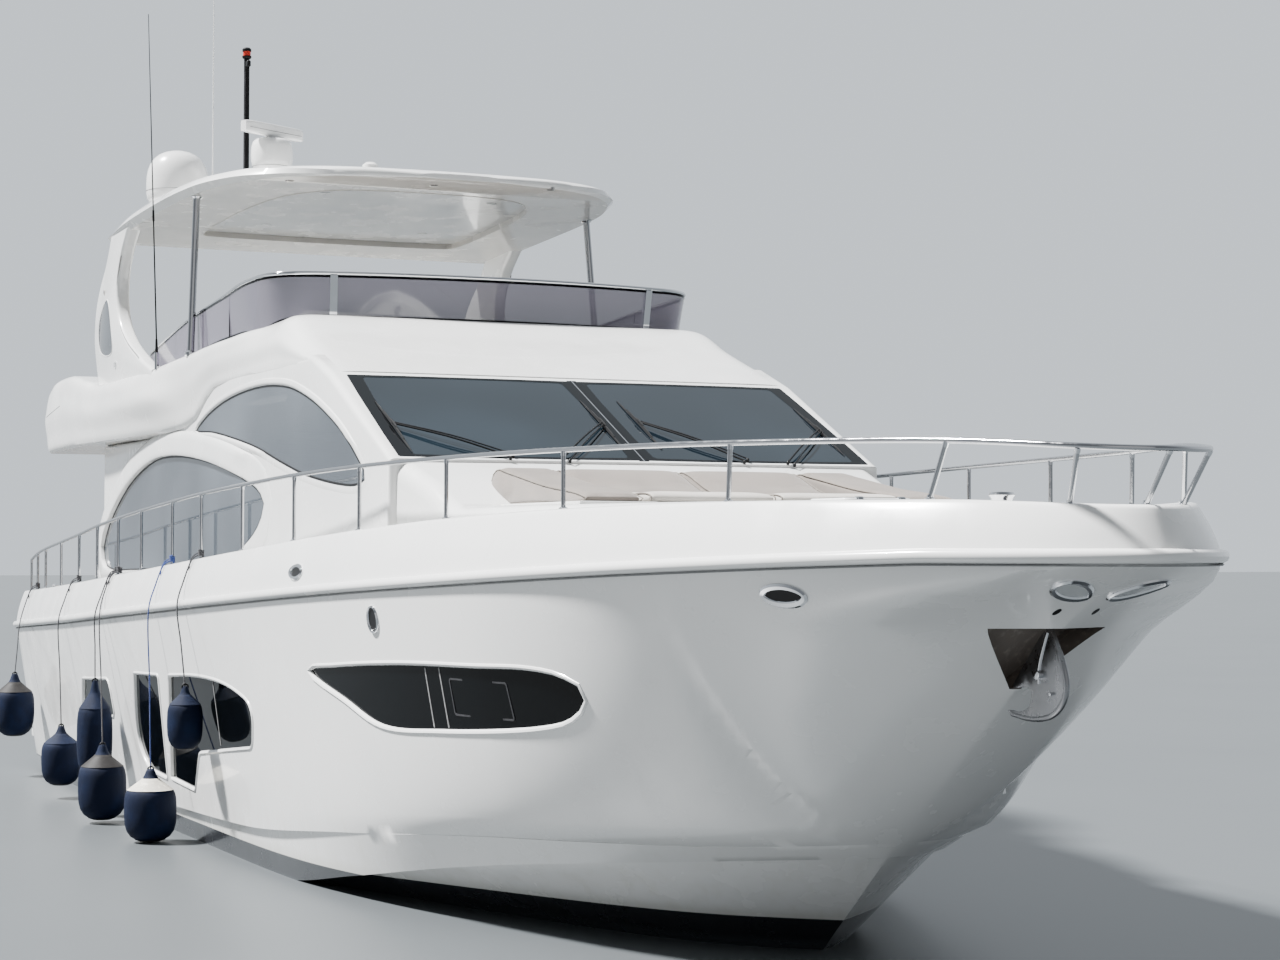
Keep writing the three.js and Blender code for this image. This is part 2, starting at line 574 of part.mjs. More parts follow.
// Fly windscreen and its rail
const SCREEN_PATH = [[-4900, 2330], [-3000, 2365], [-1200, 2380], [-200, 2370], [190, 2300], [400, 2110],
  [510, 1700], [620, 900], [660, 0]];
const SCREEN_TOP = [[-4900, 5420], [-2700, 5680], [-200, 5830], [660, 5860]];
function screenCurve() {
  const half = SCREEN_PATH.map(([x, y]) => new THREE.Vector3(x, y, 0));
  const whole = [...half, ...half.slice(0, -1).reverse().map((p) => new THREE.Vector3(p.x, -p.y, 0))];
  return new THREE.CatmullRomCurve3(whole, false, 'centripetal');
}
const screenLine = screenCurve();
const SCREEN_STEPS = 32;
const screenRings = [];
for (let i = 0; i <= SCREEN_STEPS; i += 1) {
  const p = screenLine.getPointAt(i / SCREEN_STEPS);
  const t = screenLine.getTangentAt(i / SCREEN_STEPS);
  const aside = [t.y * GLASS / 2, -t.x * GLASS / 2];
  const high = along(SCREEN_TOP, p.x);
  screenRings.push([[p.x + aside[0], p.y + aside[1], 5000], [p.x - aside[0], p.y - aside[1], 5000],
    [p.x - aside[0], p.y - aside[1], high], [p.x + aside[0], p.y + aside[1], high]]);
}
const screen = loft(screenRings).subtract(moved(flyBlock, 0, 0, SEAT));
add('fly_windscreen', screen, GLASS_TINT);
const railRings = [];
for (let i = 0; i <= SCREEN_STEPS; i += 1) {
  const p = screenLine.getPointAt(i / SCREEN_STEPS);
  const t = screenLine.getTangentAt(i / SCREEN_STEPS);
  const middle = along(SCREEN_TOP, p.x) + RAIL_R + SEAT;
  railRings.push([30, 90, 150, 210, 270, 330].map((degrees) => {
    const aside = RAIL_R * cos(degrees * PI / 180);
    return [p.x + t.y * aside, p.y - t.x * aside, middle + RAIL_R * sin(degrees * PI / 180)];
  }));
}
const screenRail = loft(railRings);
add('fly_screen_rail', screenRail, STEEL);

// Hardtop: stations with half-width, underside and crown
const TOP_STATIONS = [
  [-6500, 2350, 6930, 7020],
  [-6300, 2560, 6900, 7090],
  [-5000, 2600, 6950, 7210],
  [-3500, 2570, 7000, 7260],
  [-2400, 2490, 7030, 7270],
  [-1600, 2280, 7050, 7260],
  [-1000, 1900, 7055, 7220],
  [-650, 1320, 7060, 7180],
  [-480, 450, 7070, 7130],
];
const topRings = TOP_STATIONS.map(([x, half, low, high]) => {
  const rise = high - low;
  const port = [[half - 60, low], [half, low + rise * 0.35], [half - 150, low + rise * 0.75]];
  const side = port.map(([y, z]) => [x, y, z]);
  return [...side, [x, 0, high], ...mirrored(side).reverse()];
});
const hardtop = loft(topRings);
add('hardtop', hardtop, WHITE);

// Hardtop legs and posts
const LEG_SPAN = [2400, 2570];
const POST = { foot: [-2450, 2464, 5200], head: [-2600, 2364, 7100], radius: 40 };
const LEG = [[-6050, 6980], [-6550, 6450], [-6950, 6100], [-7000, 5660], [-6650, 5050], [-3850, 5050],
  [-3850, 5170], [-4500, 5350], [-5200, 5620], [-5680, 5970], [-5750, 6210], [-5620, 6500], [-5100, 6980]];
bothSides((side, sign) => {
  const span = LEG_SPAN.map((y) => sign * y).sort((a, b) => a - b);
  const leg = seated(prismY(LEG, ...span), flyBlock, ALL_ROUND);
  add(`hardtop_leg_${side}`, seated(leg, hardtop, ALL_ROUND), WHITE);
  const [foot, head] = [POST.foot, POST.head].map(([x, y, z]) => [x, sign * y, z]);
  const post = bar(foot, head, POST.radius);
  add(`hardtop_post_${side}`, seated(seated(post, flyBlock, ON_TOP), hardtop, [[0, 0, -1]]), STEEL);
});

// Radar on its pylon, with the turning scanner
const RADAR = [-4900, -850];
const RADAR_TOP_Z = 8120;
const PYLON = [[0, 7000], [170, 7000], [120, 7600], [120, 7700], [235, 7760], [260, 7900], [250, 8050],
  [200, RADAR_TOP_Z], [31, RADAR_TOP_Z], [31, 8040], [0, 8040]];
add('radar_pedestal', seated(turned(PYLON, ...RADAR, 0), hardtop, ON_TOP), WHITE);
const SCANNER_HALF = 500;
const SCANNER_TURN = 30;
const SCANNER_LOW_Z = RADAR_TOP_Z + CLEAR;
const SCANNER_HUB = [[0, 8045], [30.5, 8045], [30.5, SCANNER_LOW_Z], [90, SCANNER_LOW_Z], [90, 8200], [0, 8200]];
const scannerBox = box(-60, 75, -SCANNER_HALF, SCANNER_HALF, 8150, 8300);
const scannerBar = moved(scannerBox.rotate([0, 0, SCANNER_TURN]), ...RADAR, 0);
add('radar_scanner', scannerBar.add(turned(SCANNER_HUB, ...RADAR, 0)), WHITE);

// Domes, mast and whips
const DOME = [[0, 7000], [150, 7000], [150, 7350], [360, 7380], [380, 7480], [380, 7680], [350, 7820],
  [260, 7935], [140, 7990], [0, 8010]];
const DOME_PLACE = [-5600, -1850, 0];
add('satellite_dome', seated(turned(DOME, ...DOME_PLACE), hardtop, ON_TOP), WHITE);
const onMast = (z) => [-6300, -790, z];
const mastTube = bar(onMast(7000), onMast(9400), 38);
const mastHead = bar(onMast(9400), onMast(9520), 60);
const mastLamp = box(-6280, -6180, -815, -765, 9260, 9340);
add('light_mast', seated(union([mastTube, mastHead, mastLamp]), hardtop, ON_TOP), BLACK);

// Whips: foot, top of the base, tip, and the radii of base, whip and tip
const WHIPS = [
  { name: 'starboard', foot: [-3720, -2540, 5000], base: [-3720, -2540, 5350], tip: [-3400, -2740, 9200],
    radii: [28, 9, 5], carrier: flyBlock, material: BLACK },
  { name: 'centre', foot: [-5900, -1330, 7000], base: [-5900, -1330, 7450], tip: [-5900, -1330, 10400],
    radii: [25, 9, 4], carrier: hardtop, material: WHITE },
];
const WHIP_LAP = 10;
for (const { name, foot, base, tip, radii, carrier, material } of WHIPS) {
  const [x, y, z] = base;
  const whip = bar(foot, base, radii[0]).add(bar([x, y, z - WHIP_LAP], tip, radii[1], radii[2], 6));
  add(`whip_aerial_${name}`, seated(whip, carrier, ON_TOP), material);
}

// Bow and side rail: stanchions on the cap under one top rail
const STANCHIONS = [10850, 9320, 7540, 5820, 4150, 2560, 1000, -470, -1670, -3110, -4280, -5470, -6630, -7940,
  -9250, -10000, -10650];
const RAIL_TOP = [[-10650, 2930], [-9850, 3036], [-8100, 3160], [-6650, 3262], [-5460, 3360], [-4270, 3440],
  [-3030, 3518], [-1660, 3592], [-500, 3650], [1000, 3708], [2650, 3765], [4150, 3800], [5820, 3820],
  [7550, 3828], [9300, 3820], [10900, 3790], [12000, 3715]];
const LEAN_FROM_X = 9000;
const LEAN = 0.055;
const capLine = (x) => halfBreadth(FORMS.cap, x, CAP_NOSE_X) - CAP_WIDTH / 2;
const railFoot = (x, sign) => [x, sign * capLine(x), along(CAP, x) - 60];
const railHead = (x, sign) => {
  const head = x + LEAN * max(x - LEAN_FROM_X, 0);
  return [head, sign * capLine(head), along(RAIL_TOP, head)];
};
const NOSE_FOOT = [11590, 430, 3300];
const NOSE_RAIL = [[11780, 500], [11985, 240]];
const NOSE_TIP = [12060, 0, 3715];
const sideRail = STANCHIONS.map((x) => railHead(x, 1).slice(0, 2));
const railHalf = [...[...NOSE_RAIL].reverse(), ...sideRail];
const railPath = [
  ...[...railHalf].reverse().map(([x, y]) => [x, -y, along(RAIL_TOP, x)]),
  NOSE_TIP,
  ...railHalf.map(([x, y]) => [x, y, along(RAIL_TOP, x)]),
];
const stanchion = (foot, head) => pin(foot, head, STANCHION_R, RAIL_SIDES);
const railPieces = [tube(railPath, RAIL_R, RAIL_STEPS, RAIL_SIDES)];
for (const sign of [-1, 1]) {
  for (const x of STANCHIONS) railPieces.push(stanchion(railFoot(x, sign), railHead(x, sign)));
  const [noseX, noseY] = NOSE_RAIL[0];
  railPieces.push(stanchion([NOSE_FOOT[0], sign * NOSE_FOOT[1], NOSE_FOOT[2]],
    [noseX, sign * noseY, along(RAIL_TOP, noseX)]));
}
railPieces.push(stanchion([11790, 0, 3290], [NOSE_TIP[0] - 10, 0, NOSE_TIP[2]]));
const bowRail = seated(union(railPieces), bulwark, ON_TOP);
add('bow_rail', bowRail, STEEL);

// Wipers as they park: pivot across the screen, lean of the arm from up the slope, arm length
const WIPERS = [
  ['outer_starboard', -1300, 52, 1110],
  ['inner_starboard', -800, -40, 1090],
  ['inner_port', 1000, 40, 1110],
  ['outer_port', 1450, -42, 1060],
];
const WIPER_FOOT = 8;
const WIPER_LIFT = 20;
const BLADE_HALF = 570;
function wiper(pivotY, lean, arm) {
  const a = lean * PI / 180;
  const tip = [pivotY - arm * sin(a), WIPER_FOOT + arm * cos(a)];
  const place = (y, s, lift) => [
    SHIELD_BASE[0] + up[0] * s + out[0] * lift,
    y,
    SHIELD_BASE[1] + up[1] * s + out[1] * lift,
  ];
  const alongBlade = (s) => place(tip[0], tip[1] + s, WIPER_LIFT);
  const spindle = pin(place(pivotY, WIPER_FOOT, SEAT), place(pivotY, WIPER_FOOT, WIPER_LIFT + 30), 18, 16);
  const rod = pin(place(pivotY, WIPER_FOOT, WIPER_LIFT + 14), place(...tip, WIPER_LIFT + 14), 8, 8);
  const blade = pin(alongBlade(-BLADE_HALF), alongBlade(BLADE_HALF), 10, 8);
  return union([spindle, rod, blade]);
}
for (const [name, y, lean, arm] of WIPERS) add(`wiper_${name}`, wiper(y, lean, arm), BLACK);

// Anchor with its plate at the stem
const ANCHOR = [[10690, 2590], [10310, 2190], [10300, 2150], [10478, 2180], [10530, 2144], [10517, 2061],
  [10461, 2015], [10340, 1997], [10230, 2010], [10270, 1980], [10461, 1962], [10614, 1966], [10740, 1990],
  [10845, 2043], [10918, 2126], [10934, 2219], [10902, 2318], [10842, 2434], [10755, 2590]];
const anchorPlate = prismY(ANCHOR, -ANCHOR_HALF, ANCHOR_HALF);
add('anchor', seated(anchorPlate, hull, [[0, 0, 1], [0, 0, -1], [1, 0, 0]]), STEEL);

// Fenders on their lines: place, rail tie, radius and height
const FENDERS = [
  ['fender_1', -1370, -3130, 388, -1670, 275, 760],
  ['fender_2', -3400, -3200, 455, -4200, 270, 840],
  ['fender_3', -4150, -3130, 1000, -4330, 205, 1120],
  ['fender_4', -6330, -3080, 525, -6630, 240, 730],
  ['fender_5', -9600, -3060, 960, -10000, 265, 840],
  ['fender_6', -120, -3080, 1380, -470, 180, 640],
];
const ROPE_R = 7;
for (const [name, x, y, z, tie, radius, height] of FENDERS) {
  const half = height / 2;
  const profile = [[0, -half], [radius * 0.55, -half], [radius * 0.9, -half + 120], [radius, -half + 250],
    [radius, half - 330], [radius * 0.85, half - 180], [radius * 0.4, half - 60], [30, half], [0, half]];
  const body = turned(profile, x, y, z, 14);
  const overY = -(halfBreadth(FORMS.rub, tie, stemX(NOSE_Z)) + RUB_DEPTH + 22);
  const tieY = -(capLine(tie) + RAIL_R + 7);
  const capY = -(halfBreadth(FORMS.cap, tie, CAP_NOSE_X) + 8);
  const capZ = along(CAP, tie);
  const line = [[x, y, z + half - 40], [tie * 0.8 + x * 0.2, overY, along(RUB, tie)], [tie, capY, capZ + 8],
    [tie, tieY, capZ + 60]];
  const rope = union(line.slice(1).map((p, i) => pin(line[i], p, ROPE_R, 6)));
  const knot = pin([tie, tieY, capZ - 10], [tie, tieY, capZ + 110], ROPE_R + 1, 6);
  add(name, seated(body.add(rope).add(knot), bulwark, ON_TOP), VINYL);
}

// Propellers with their shafts, struts and rudders
const BLADES = 4;
const HUB_HALF = 130;
const STRUT_AHEAD = 420;
const STRUT_R = 75;
const STRUT_TOP_Z = -300;
const RUDDER = [[-9860, -760], [-10400, -740], [-10450, -1450], [-10330, -1600], [-9950, -1600],
  [-9840, -1300]];
const RUDDER_HALF = 22;
bothSides((side, sign) => {
  const hub = bar(onShaft(PROP_X - HUB_HALF, sign), onShaft(PROP_X + HUB_HALF, sign), 60, 85, 24);
  const shaft = pin(onShaft(PROP_X, sign), onShaft(SHAFT_FORE_X, sign), SHAFT_R);
  const blades = [];
  for (let i = 0; i < BLADES; i += 1) {
    const blade = new THREE.CylinderGeometry(1, 1, 18, 20);
    blade.rotateZ(PI / 2);
    blade.scale(1, PROP_R * 0.42, PROP_R * 0.43);
    const pose = new THREE.Matrix4().makeRotationX(2 * PI * i / BLADES);
    const lift = new THREE.Matrix4().makeTranslation(0, 0, PROP_R * 0.57);
    const pitch = new THREE.Matrix4().makeRotationZ(sign * PI / 5);
    blade.applyMatrix4(pose.multiply(lift).multiply(pitch));
    blade.applyMatrix4(new THREE.Matrix4().makeRotationY(-atan(SHAFT_RISE)));
    blade.translate(...onShaft(PROP_X, sign));
    blades.push(solid(blade));
  }
  add(`propeller_${side}`, union([hub, shaft, ...blades]), BRONZE);
  const strutX = PROP_X + STRUT_AHEAD;
  const barrel = pin(onShaft(strutX - HUB_HALF, sign), onShaft(strutX + HUB_HALF, sign), STRUT_R)
    .subtract(pin(onShaft(strutX - 200, sign), onShaft(strutX + 200, sign), SHAFT_R + RUNNING));
  const arm = moved(box(-70, 70, -14, 14, shaftZ(strutX) + 60, STRUT_TOP_Z), strutX, sign * SHAFT_Y, 0);
  const strut = seated(barrel.add(arm), hullWhole, [[0, 0, -1], [0, 1, -1], [0, -1, -1]]);
  add(`shaft_strut_${side}`, strut, BRONZE);
  const blade = prismY(RUDDER, sign * SHAFT_Y - RUDDER_HALF, sign * SHAFT_Y + RUDDER_HALF);
  const onStock = (z) => [RUDDER_X, sign * SHAFT_Y, z];
  const stock = pin(onStock(-1000), onStock(RUDDER_TOP_Z), RUDDER_STOCK_R);
  add(`rudder_${side}`, blade.add(stock), BRONZE);
});

// Consoles and cabinets: side outlines run across the boat
const HELM_LOW_Z = SALOON_FLOOR_Z + SEAT;
const HELM_CONSOLE = [[2700, HELM_LOW_Z], [3860, HELM_LOW_Z], [3860, 3250], [4100, 3450], [4100, 3640],
  [3300, 3700], [2900, 3450]];
const HELM_HALF = 1950;
add('helm_console', prismY(HELM_CONSOLE, -HELM_HALF, HELM_HALF), WOOD);
const FLY_LOW_Z = FLY_FLOOR_Z + SEAT;
const FLY_CONSOLE = [[-700, FLY_LOW_Z], [-60, FLY_LOW_Z], [-60, 5450], [-300, 5560], [-700, 5300]];
add('fly_console', prismY(FLY_CONSOLE, -1500, -100), WHITE);
add('saloon_cabinet', box(-5800, -1500, 1750, 2250, HELM_LOW_Z, 2800), WOOD);

// Seats, each a base block with a back along its aft side
const SEATS = [
  { name: 'helm_seats', x: [1500, 2150], y: [-1700, 300], floor: SALOON_FLOOR_Z, seat: 950, back: 1600,
    thick: 140 },
  { name: 'saloon_sofa', x: [-4600, -3700], y: [-2150, -300], floor: SALOON_FLOOR_Z, seat: 420, back: 850,
    thick: 200 },
  { name: 'cockpit_sofa', x: [-10600, -9950], y: [-1500, 1500], floor: COCKPIT_SOLE_Z, seat: 430, back: 800,
    thick: 180 },
  { name: 'fly_helm_seat', x: [-1900, -1350], y: [-1500, -200], floor: FLY_FLOOR_Z, seat: 480, back: 980,
    thick: 140 },
  { name: 'fly_sofa', x: [-5200, -4500], y: [900, 2100], floor: FLY_FLOOR_Z, seat: 430, back: 800, thick: 180 },
];
for (const { name, x, y, floor, seat, back: rise, thick } of SEATS) {
  const low = floor + SEAT;
  const base = box(...x, ...y, low, low + seat);
  const back = box(x[0], x[0] + thick, ...y, low, low + rise);
  add(name, base.add(back), CLOTH);
}

// Tables: a top on one round foot
const TABLES = [
  { name: 'cockpit_table', x: [-9500, -8700], y: [-900, 500], foot: [-9100, -200], floor: COCKPIT_SOLE_Z,
    top: 2600, radius: 60 },
  { name: 'fly_table', x: [-4300, -3400], y: [600, 1500], foot: [-3850, 1050], floor: FLY_FLOOR_Z,
    top: 5340, radius: 55 },
];
const TABLE_THICK = 40;
const FOOT_LAP = 10;
for (const { name, x, y, foot, floor, top, radius } of TABLES) {
  const leaf = box(...x, ...y, top - TABLE_THICK, top);
  const leg = bar([...foot, floor + SEAT], [...foot, top - TABLE_THICK + FOOT_LAP], radius);
  add(name, leaf.add(leg), TEAK);
}

// Stairs from the cockpit to the fly deck
const STAIR_FOOT = [-9150, COCKPIT_SOLE_Z];
const STAIR_HEAD = [-7250, FLY_FLOOR_Z - 60];
const TREADS = 10;
const STRINGER = [
  [STAIR_FOOT[0] - 100, STAIR_FOOT[1] + SEAT],
  [STAIR_FOOT[0] + 160, STAIR_FOOT[1] + SEAT],
  [STAIR_HEAD[0] + 60, STAIR_HEAD[1] - 60],
  [STAIR_HEAD[0] + 60, STAIR_HEAD[1] + 50],
  [STAIR_HEAD[0] - 60, STAIR_HEAD[1] + 50],
];
const stairParts = [1060, 1740].map((y) => prismY(STRINGER, y - 15, y + 15));
for (let i = 1; i <= TREADS; i += 1) {
  const [x, z] = STAIR_FOOT.map((low, k) => low + (STAIR_HEAD[k] - low) * i / (TREADS + 1));
  stairParts.push(box(x - 120, x + 120, 1050, 1750, z - 20, z + 20));
}
add('fly_stairs', seated(seated(union(stairParts), fly, ALL_ROUND), house, ALL_ROUND), STEEL);

export default yacht;
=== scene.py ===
import json
import math

import bmesh
import bpy
import numpy as np
from mathutils import Matrix, Vector
from mathutils.geometry import delaunay_2d_cdt


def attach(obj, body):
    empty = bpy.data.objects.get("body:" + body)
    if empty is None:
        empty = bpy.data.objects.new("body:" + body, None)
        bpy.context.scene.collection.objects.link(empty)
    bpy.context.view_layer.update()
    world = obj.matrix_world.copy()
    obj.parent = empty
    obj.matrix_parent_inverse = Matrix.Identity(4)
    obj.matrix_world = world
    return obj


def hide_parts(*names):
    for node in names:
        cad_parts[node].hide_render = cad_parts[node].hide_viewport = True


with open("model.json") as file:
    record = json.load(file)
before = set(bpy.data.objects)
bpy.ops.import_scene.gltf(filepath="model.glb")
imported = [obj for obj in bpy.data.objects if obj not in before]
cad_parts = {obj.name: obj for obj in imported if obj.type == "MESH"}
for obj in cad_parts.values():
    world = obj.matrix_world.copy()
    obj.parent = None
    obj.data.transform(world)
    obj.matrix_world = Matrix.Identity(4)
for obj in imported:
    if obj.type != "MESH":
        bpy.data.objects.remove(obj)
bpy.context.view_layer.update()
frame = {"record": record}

# Looks of a flybridge motor yacht, in metres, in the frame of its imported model:
# +X to the bow, +Y to port, +Z up, origin amidships at the waterline.

scene = bpy.context.scene
SIDES = (("starboard", -1), ("port", 1))

# Camera
CAMERA_PLACE = (24.43, -9.21, 3.09)
CAMERA_YAW = 155.54
CAMERA_PITCH = 1.61
CAMERA_ROLL = 0.1
FOCAL_PIXELS = 2462
PHOTO_WIDTH = 1280
SENSOR_MM = 36


def make_camera():
    data = bpy.data.cameras.new("camera")
    data.sensor_width = SENSOR_MM
    data.lens = FOCAL_PIXELS / PHOTO_WIDTH * SENSOR_MM
    data.clip_end = 600
    camera = bpy.data.objects.new("camera", data)
    scene.collection.objects.link(camera)
    yaw, pitch, roll = (math.radians(a) for a in (CAMERA_YAW, CAMERA_PITCH, CAMERA_ROLL))
    ahead = Vector((math.cos(yaw) * math.cos(pitch), math.sin(yaw) * math.cos(pitch), math.sin(pitch)))
    right = ahead.cross(Vector((0, 0, 1))).normalized()
    up = right.cross(ahead)
    right, up = right * math.cos(roll) + up * math.sin(roll), up * math.cos(roll) - right * math.sin(roll)
    camera.matrix_world = Matrix((right, up, -ahead)).transposed().to_4x4()
    camera.location = CAMERA_PLACE
    scene.camera = camera


make_camera()

# Hull, in plan and in height
TRANSOM_X = -10.8
FULL_TO_X = -4.0
STERN_TAPER = 0.07
NOSE_Z = 3.05
KNUCKLE_STEM_Z = 0.94
CHINE_STEM_X = 8.6
CAP_NOSE_X = 11.87
CAP_WIDTH = 0.15
CAMBER = 0.02
RUB_DEPTH = 0.045
BOOT_AFT_Z = 0.2
BOOT_BOW_Z = 0.27

# Decks, house and fly
COCKPIT_SOLE_Z = 1.85
COCKPIT_AFT_X = -10.62
COCKPIT_HALF = 2.35
SALOON_FLOOR_Z = 1.95
SALOON_CEILING_Z = 4.28
SALOON_WELL_HALF = 2.28
FLY_FLOOR_Z = 4.62
BULKHEAD_AFT_X = -7.06
BULKHEAD_FORE_X = -6.96
HOUSE_HALF = 2.42
HOUSE_INNER = 2.3
HOUSE_FRONT_X = 4.3
SEAM_AFT_Z = 4.4
SEAM_FORE_Z = 4.93
SHIELD_BASE = (4.3, 3.87)
SHIELD_TOP = (2.55, 4.72)
DOOR_HALF = 1.75
DOOR_TOP_Z = 4.1
RAIL_R = 0.02
STANCHION_R = 0.018

# Hull lines: height along the hull
KEEL = ((-10.8, -0.74), (-6, -0.95), (0, -1.12), (4, -1.12), (5.2, -1.04), (6.2, -0.86),
        (6.9, -0.58), (7.3, -0.3), (7.62, 0), (8.17, 0.46), (8.6, 0.82))
CHINE = ((-10.8, -0.25), (-4, -0.2), (0, -0.12), (2, -0.01), (3.5, 0.2), (5.65, 0.52),
         (6.9, 0.66), (8.03, 0.77), (8.6, 0.82))
KNUCKLE = ((-10.8, 0.18), (-2.4, 0.3), (0.8, 0.38), (3.6, 0.6), (5.9, 0.785), (7, 0.84),
           (8.1, 0.89), (8.75, 0.94))
RUB = ((-10.8, 2.02), (-6.4, 2.21), (-3.5, 2.36), (-0.4, 2.52), (2.7, 2.68), (4.4, 2.765),
       (6.2, 2.85), (7.8, 2.925), (8.6, 2.96), (10, 3.015), (11, 3.05))
CAP = ((-10.7, 2.48), (-8.8, 2.55), (-6.3, 2.66), (-3.9, 2.785), (-1.4, 2.92), (1.25, 3.07),
       (4.4, 3.25), (6.1, 3.33), (7.7, 3.38), (9.4, 3.405), (10.9, 3.4), (11.8, 3.36))
CAP_ABOVE_DECK = ((2, 0.42), (5, 0.13))
STEM = ((0, 7.62), (0.94, 8.75), (2.06, 10.19), (2.57, 10.86), (2.8, 11.3), (3.05, 12.0))

# Plan form of each line: half-beam, run to full beam, fullness, bluntness at the stem
FORMS = {
    "chine": (2.6, 8.0, 2.6, 1.45),
    "knuckle": (2.72, 8.0, 2.6, 1.6),
    "rub": (3.04, 15.0, 3.0, 1.75),
    "cap": (2.92, 15.0, 3.0, 1.65),
    "deck": (2.77, 14.85, 3.0, 1.65),
}
# Topside from knuckle to rub rail: how soon it fills out along x, and its wedge behind the stem
FILL_POWER = ((1, 1), (6.5, 0.5))
WEDGE_WIDTH = ((0, 2.2), (0.75, 2.0), (1, 4.0))
WEDGE_POWER = ((0, 0.6), (0.75, 0.9), (1, 0.6))
WEDGE_BLEND = 5
LEAST = 1e-6


# Numbers and curves

def along(table, x):
    """Smooth curve through rows of (x, value), level past its ends."""
    rows = np.asarray(table, float)
    step = np.diff(rows[:, 0])
    rise = np.diff(rows[:, 1]) / step
    slope = np.zeros(len(rows))
    slope[0], slope[-1] = rise[0], rise[-1]
    same = rise[:-1] * rise[1:] > 0
    total = np.where(same, rise[:-1] + rise[1:], 1)
    slope[1:-1] = np.where(same, 2 * rise[:-1] * rise[1:] / total, 0)
    x = np.clip(x, rows[0, 0], rows[-1, 0])
    i = np.clip(np.searchsorted(rows[:, 0], x, side="right") - 1, 0, len(rows) - 2)
    t = (x - rows[i, 0]) / step[i]
    rest = 1 - t
    ends = (1 + 2 * t) * rest ** 2 * rows[i, 1] + t ** 2 * (3 - 2 * t) * rows[i + 1, 1]
    return ends + step[i] * (t * rest ** 2 * slope[i] - t ** 2 * rest * slope[i + 1])


def ease(t):
    t = np.clip(t, 0, 1)
    return t * t * (3 - 2 * t)


def spline(points, count, closed=False):
    """Points evenly spaced along a smooth curve through the given ones."""
    p = np.asarray(points, float)
    ends = (p[-1:], p[:2]) if closed else (2 * p[:1] - p[1:2], 2 * p[-1:] - p[-2:-1])
    p = np.vstack([ends[0], p, ends[1]])
    fine = []
    for a, b, c, d in zip(p[:-3], p[1:-2], p[2:-1], p[3:]):
        t0 = 0
        t1 = t0 + np.linalg.norm(b - a) ** 0.5
        t2 = t1 + np.linalg.norm(c - b) ** 0.5
        t3 = t2 + np.linalg.norm(d - c) ** 0.5
        t = np.linspace(t1, t2, 24, endpoint=False)[:, None]
        ab = (t1 - t) / (t1 - t0) * a + (t - t0) / (t1 - t0) * b
        bc = (t2 - t) / (t2 - t1) * b + (t - t1) / (t2 - t1) * c
        cd = (t3 - t) / (t3 - t2) * c + (t - t2) / (t3 - t2) * d
        abc = (t2 - t) / (t2 - t0) * ab + (t - t0) / (t2 - t0) * bc
        bcd = (t3 - t) / (t3 - t1) * bc + (t - t1) / (t3 - t1) * cd
        fine.append((t2 - t) / (t2 - t1) * abc + (t - t1) / (t2 - t1) * bcd)
    fine.append(p[-2:-1])
    fine = np.vstack(fine)
    run = np.r_[0, np.cumsum(np.linalg.norm(np.diff(fine, axis=0), axis=1))]
    where = np.linspace(0, run[-1], count, endpoint=not closed)
    return np.column_stack([np.interp(where, run, fine[:, k]) for k in range(p.shape[1])])


# Outlines in two dimensions

def soften(outline, rounds=2):
    """Rounds the corners of a closed outline by cutting them, each time finer."""
    p = np.asarray(outline, float)
    for _ in range(rounds):
        following = np.roll(p, -1, axis=0)
        p = np.stack([0.75 * p + 0.25 * following, 0.25 * p + 0.75 * following], 1).reshape(-1, 2)
    return p


def filleted(rows, steps):
    """Outline through corner rows of (x, z, reach), each corner rounded within its reach."""
    places = np.array([row[:2] for row in rows], float)
    rounded = []
    for i, (_, _, reach) in enumerate(rows):
        here = places[i]
        ends = []
        for other in (places[i - 1], places[(i + 1) % len(rows)]):
            far = np.linalg.norm(other - here)
            ends.append(here + (other - here) * min(reach / far, 0.48))
        for t in np.linspace(0, 1, steps):
            rounded.append((1 - t) ** 2 * ends[0] + 2 * t * (1 - t) * here + t ** 2 * ends[1])
    return np.array(rounded)


def inset(outline, distance):
    """Outline moved inward, or outward where the distance is negative."""
    p = np.asarray(outline, float)
    before = p - np.roll(p, 1, axis=0)
    after = np.roll(p, -1, axis=0) - p
    before /= np.linalg.norm(before, axis=1)[:, None]
    after /= np.linalg.norm(after, axis=1)[:, None]
    normal = np.column_stack([-(before + after)[:, 1], (before + after)[:, 0]])
    normal /= np.linalg.norm(normal, axis=1)[:, None]
    following = np.roll(p, -1, axis=0)
    area = np.sum(p[:, 0] * following[:, 1] - following[:, 0] * p[:, 1])
    return p + math.copysign(distance, area * distance) * normal if distance else p


def ellipse(x, z, rx, rz, count=32):
    a = np.linspace(0, 2 * math.pi, count, endpoint=False)
    return np.column_stack([x + rx * np.cos(a), z + rz * np.sin(a)])


def rounded_box(x0, x1, z0, z1, radius, steps=5):
    """Rectangle with round corners."""
    points = []
    corners = ((x1, z1, 0), (x0, z1, 90), (x0, z0, 180), (x1, z0, 270))
    for x, z, start in corners:
        cx = x - math.copysign(radius, x - (x0 + x1) / 2)
        cz = z - math.copysign(radius, z - (z0 + z1) / 2)
        for a in np.radians(np.linspace(start, start + 90, steps)):
            points.append((cx + radius * math.cos(a), cz + radius * math.sin(a)))
    return np.array(points)


# Closed shells, each a pair of points and faces

def loft(rings, around=False):
    """Skin through rings of equal length; around joins the last ring to the first."""
    rings = np.asarray(rings, float)
    count, size = rings.shape[:2]
    faces = []
    for r in range(count if around else count - 1):
        a, b = r * size, (r + 1) % count * size
        faces += [(a + i, a + (i + 1) % size, b + (i + 1) % size, b + i) for i in range(size)]
    if not around:
        faces.append(tuple(range(size)))
        faces.append(tuple(range((count - 1) * size, count * size)))
    return rings.reshape(-1, 3), faces


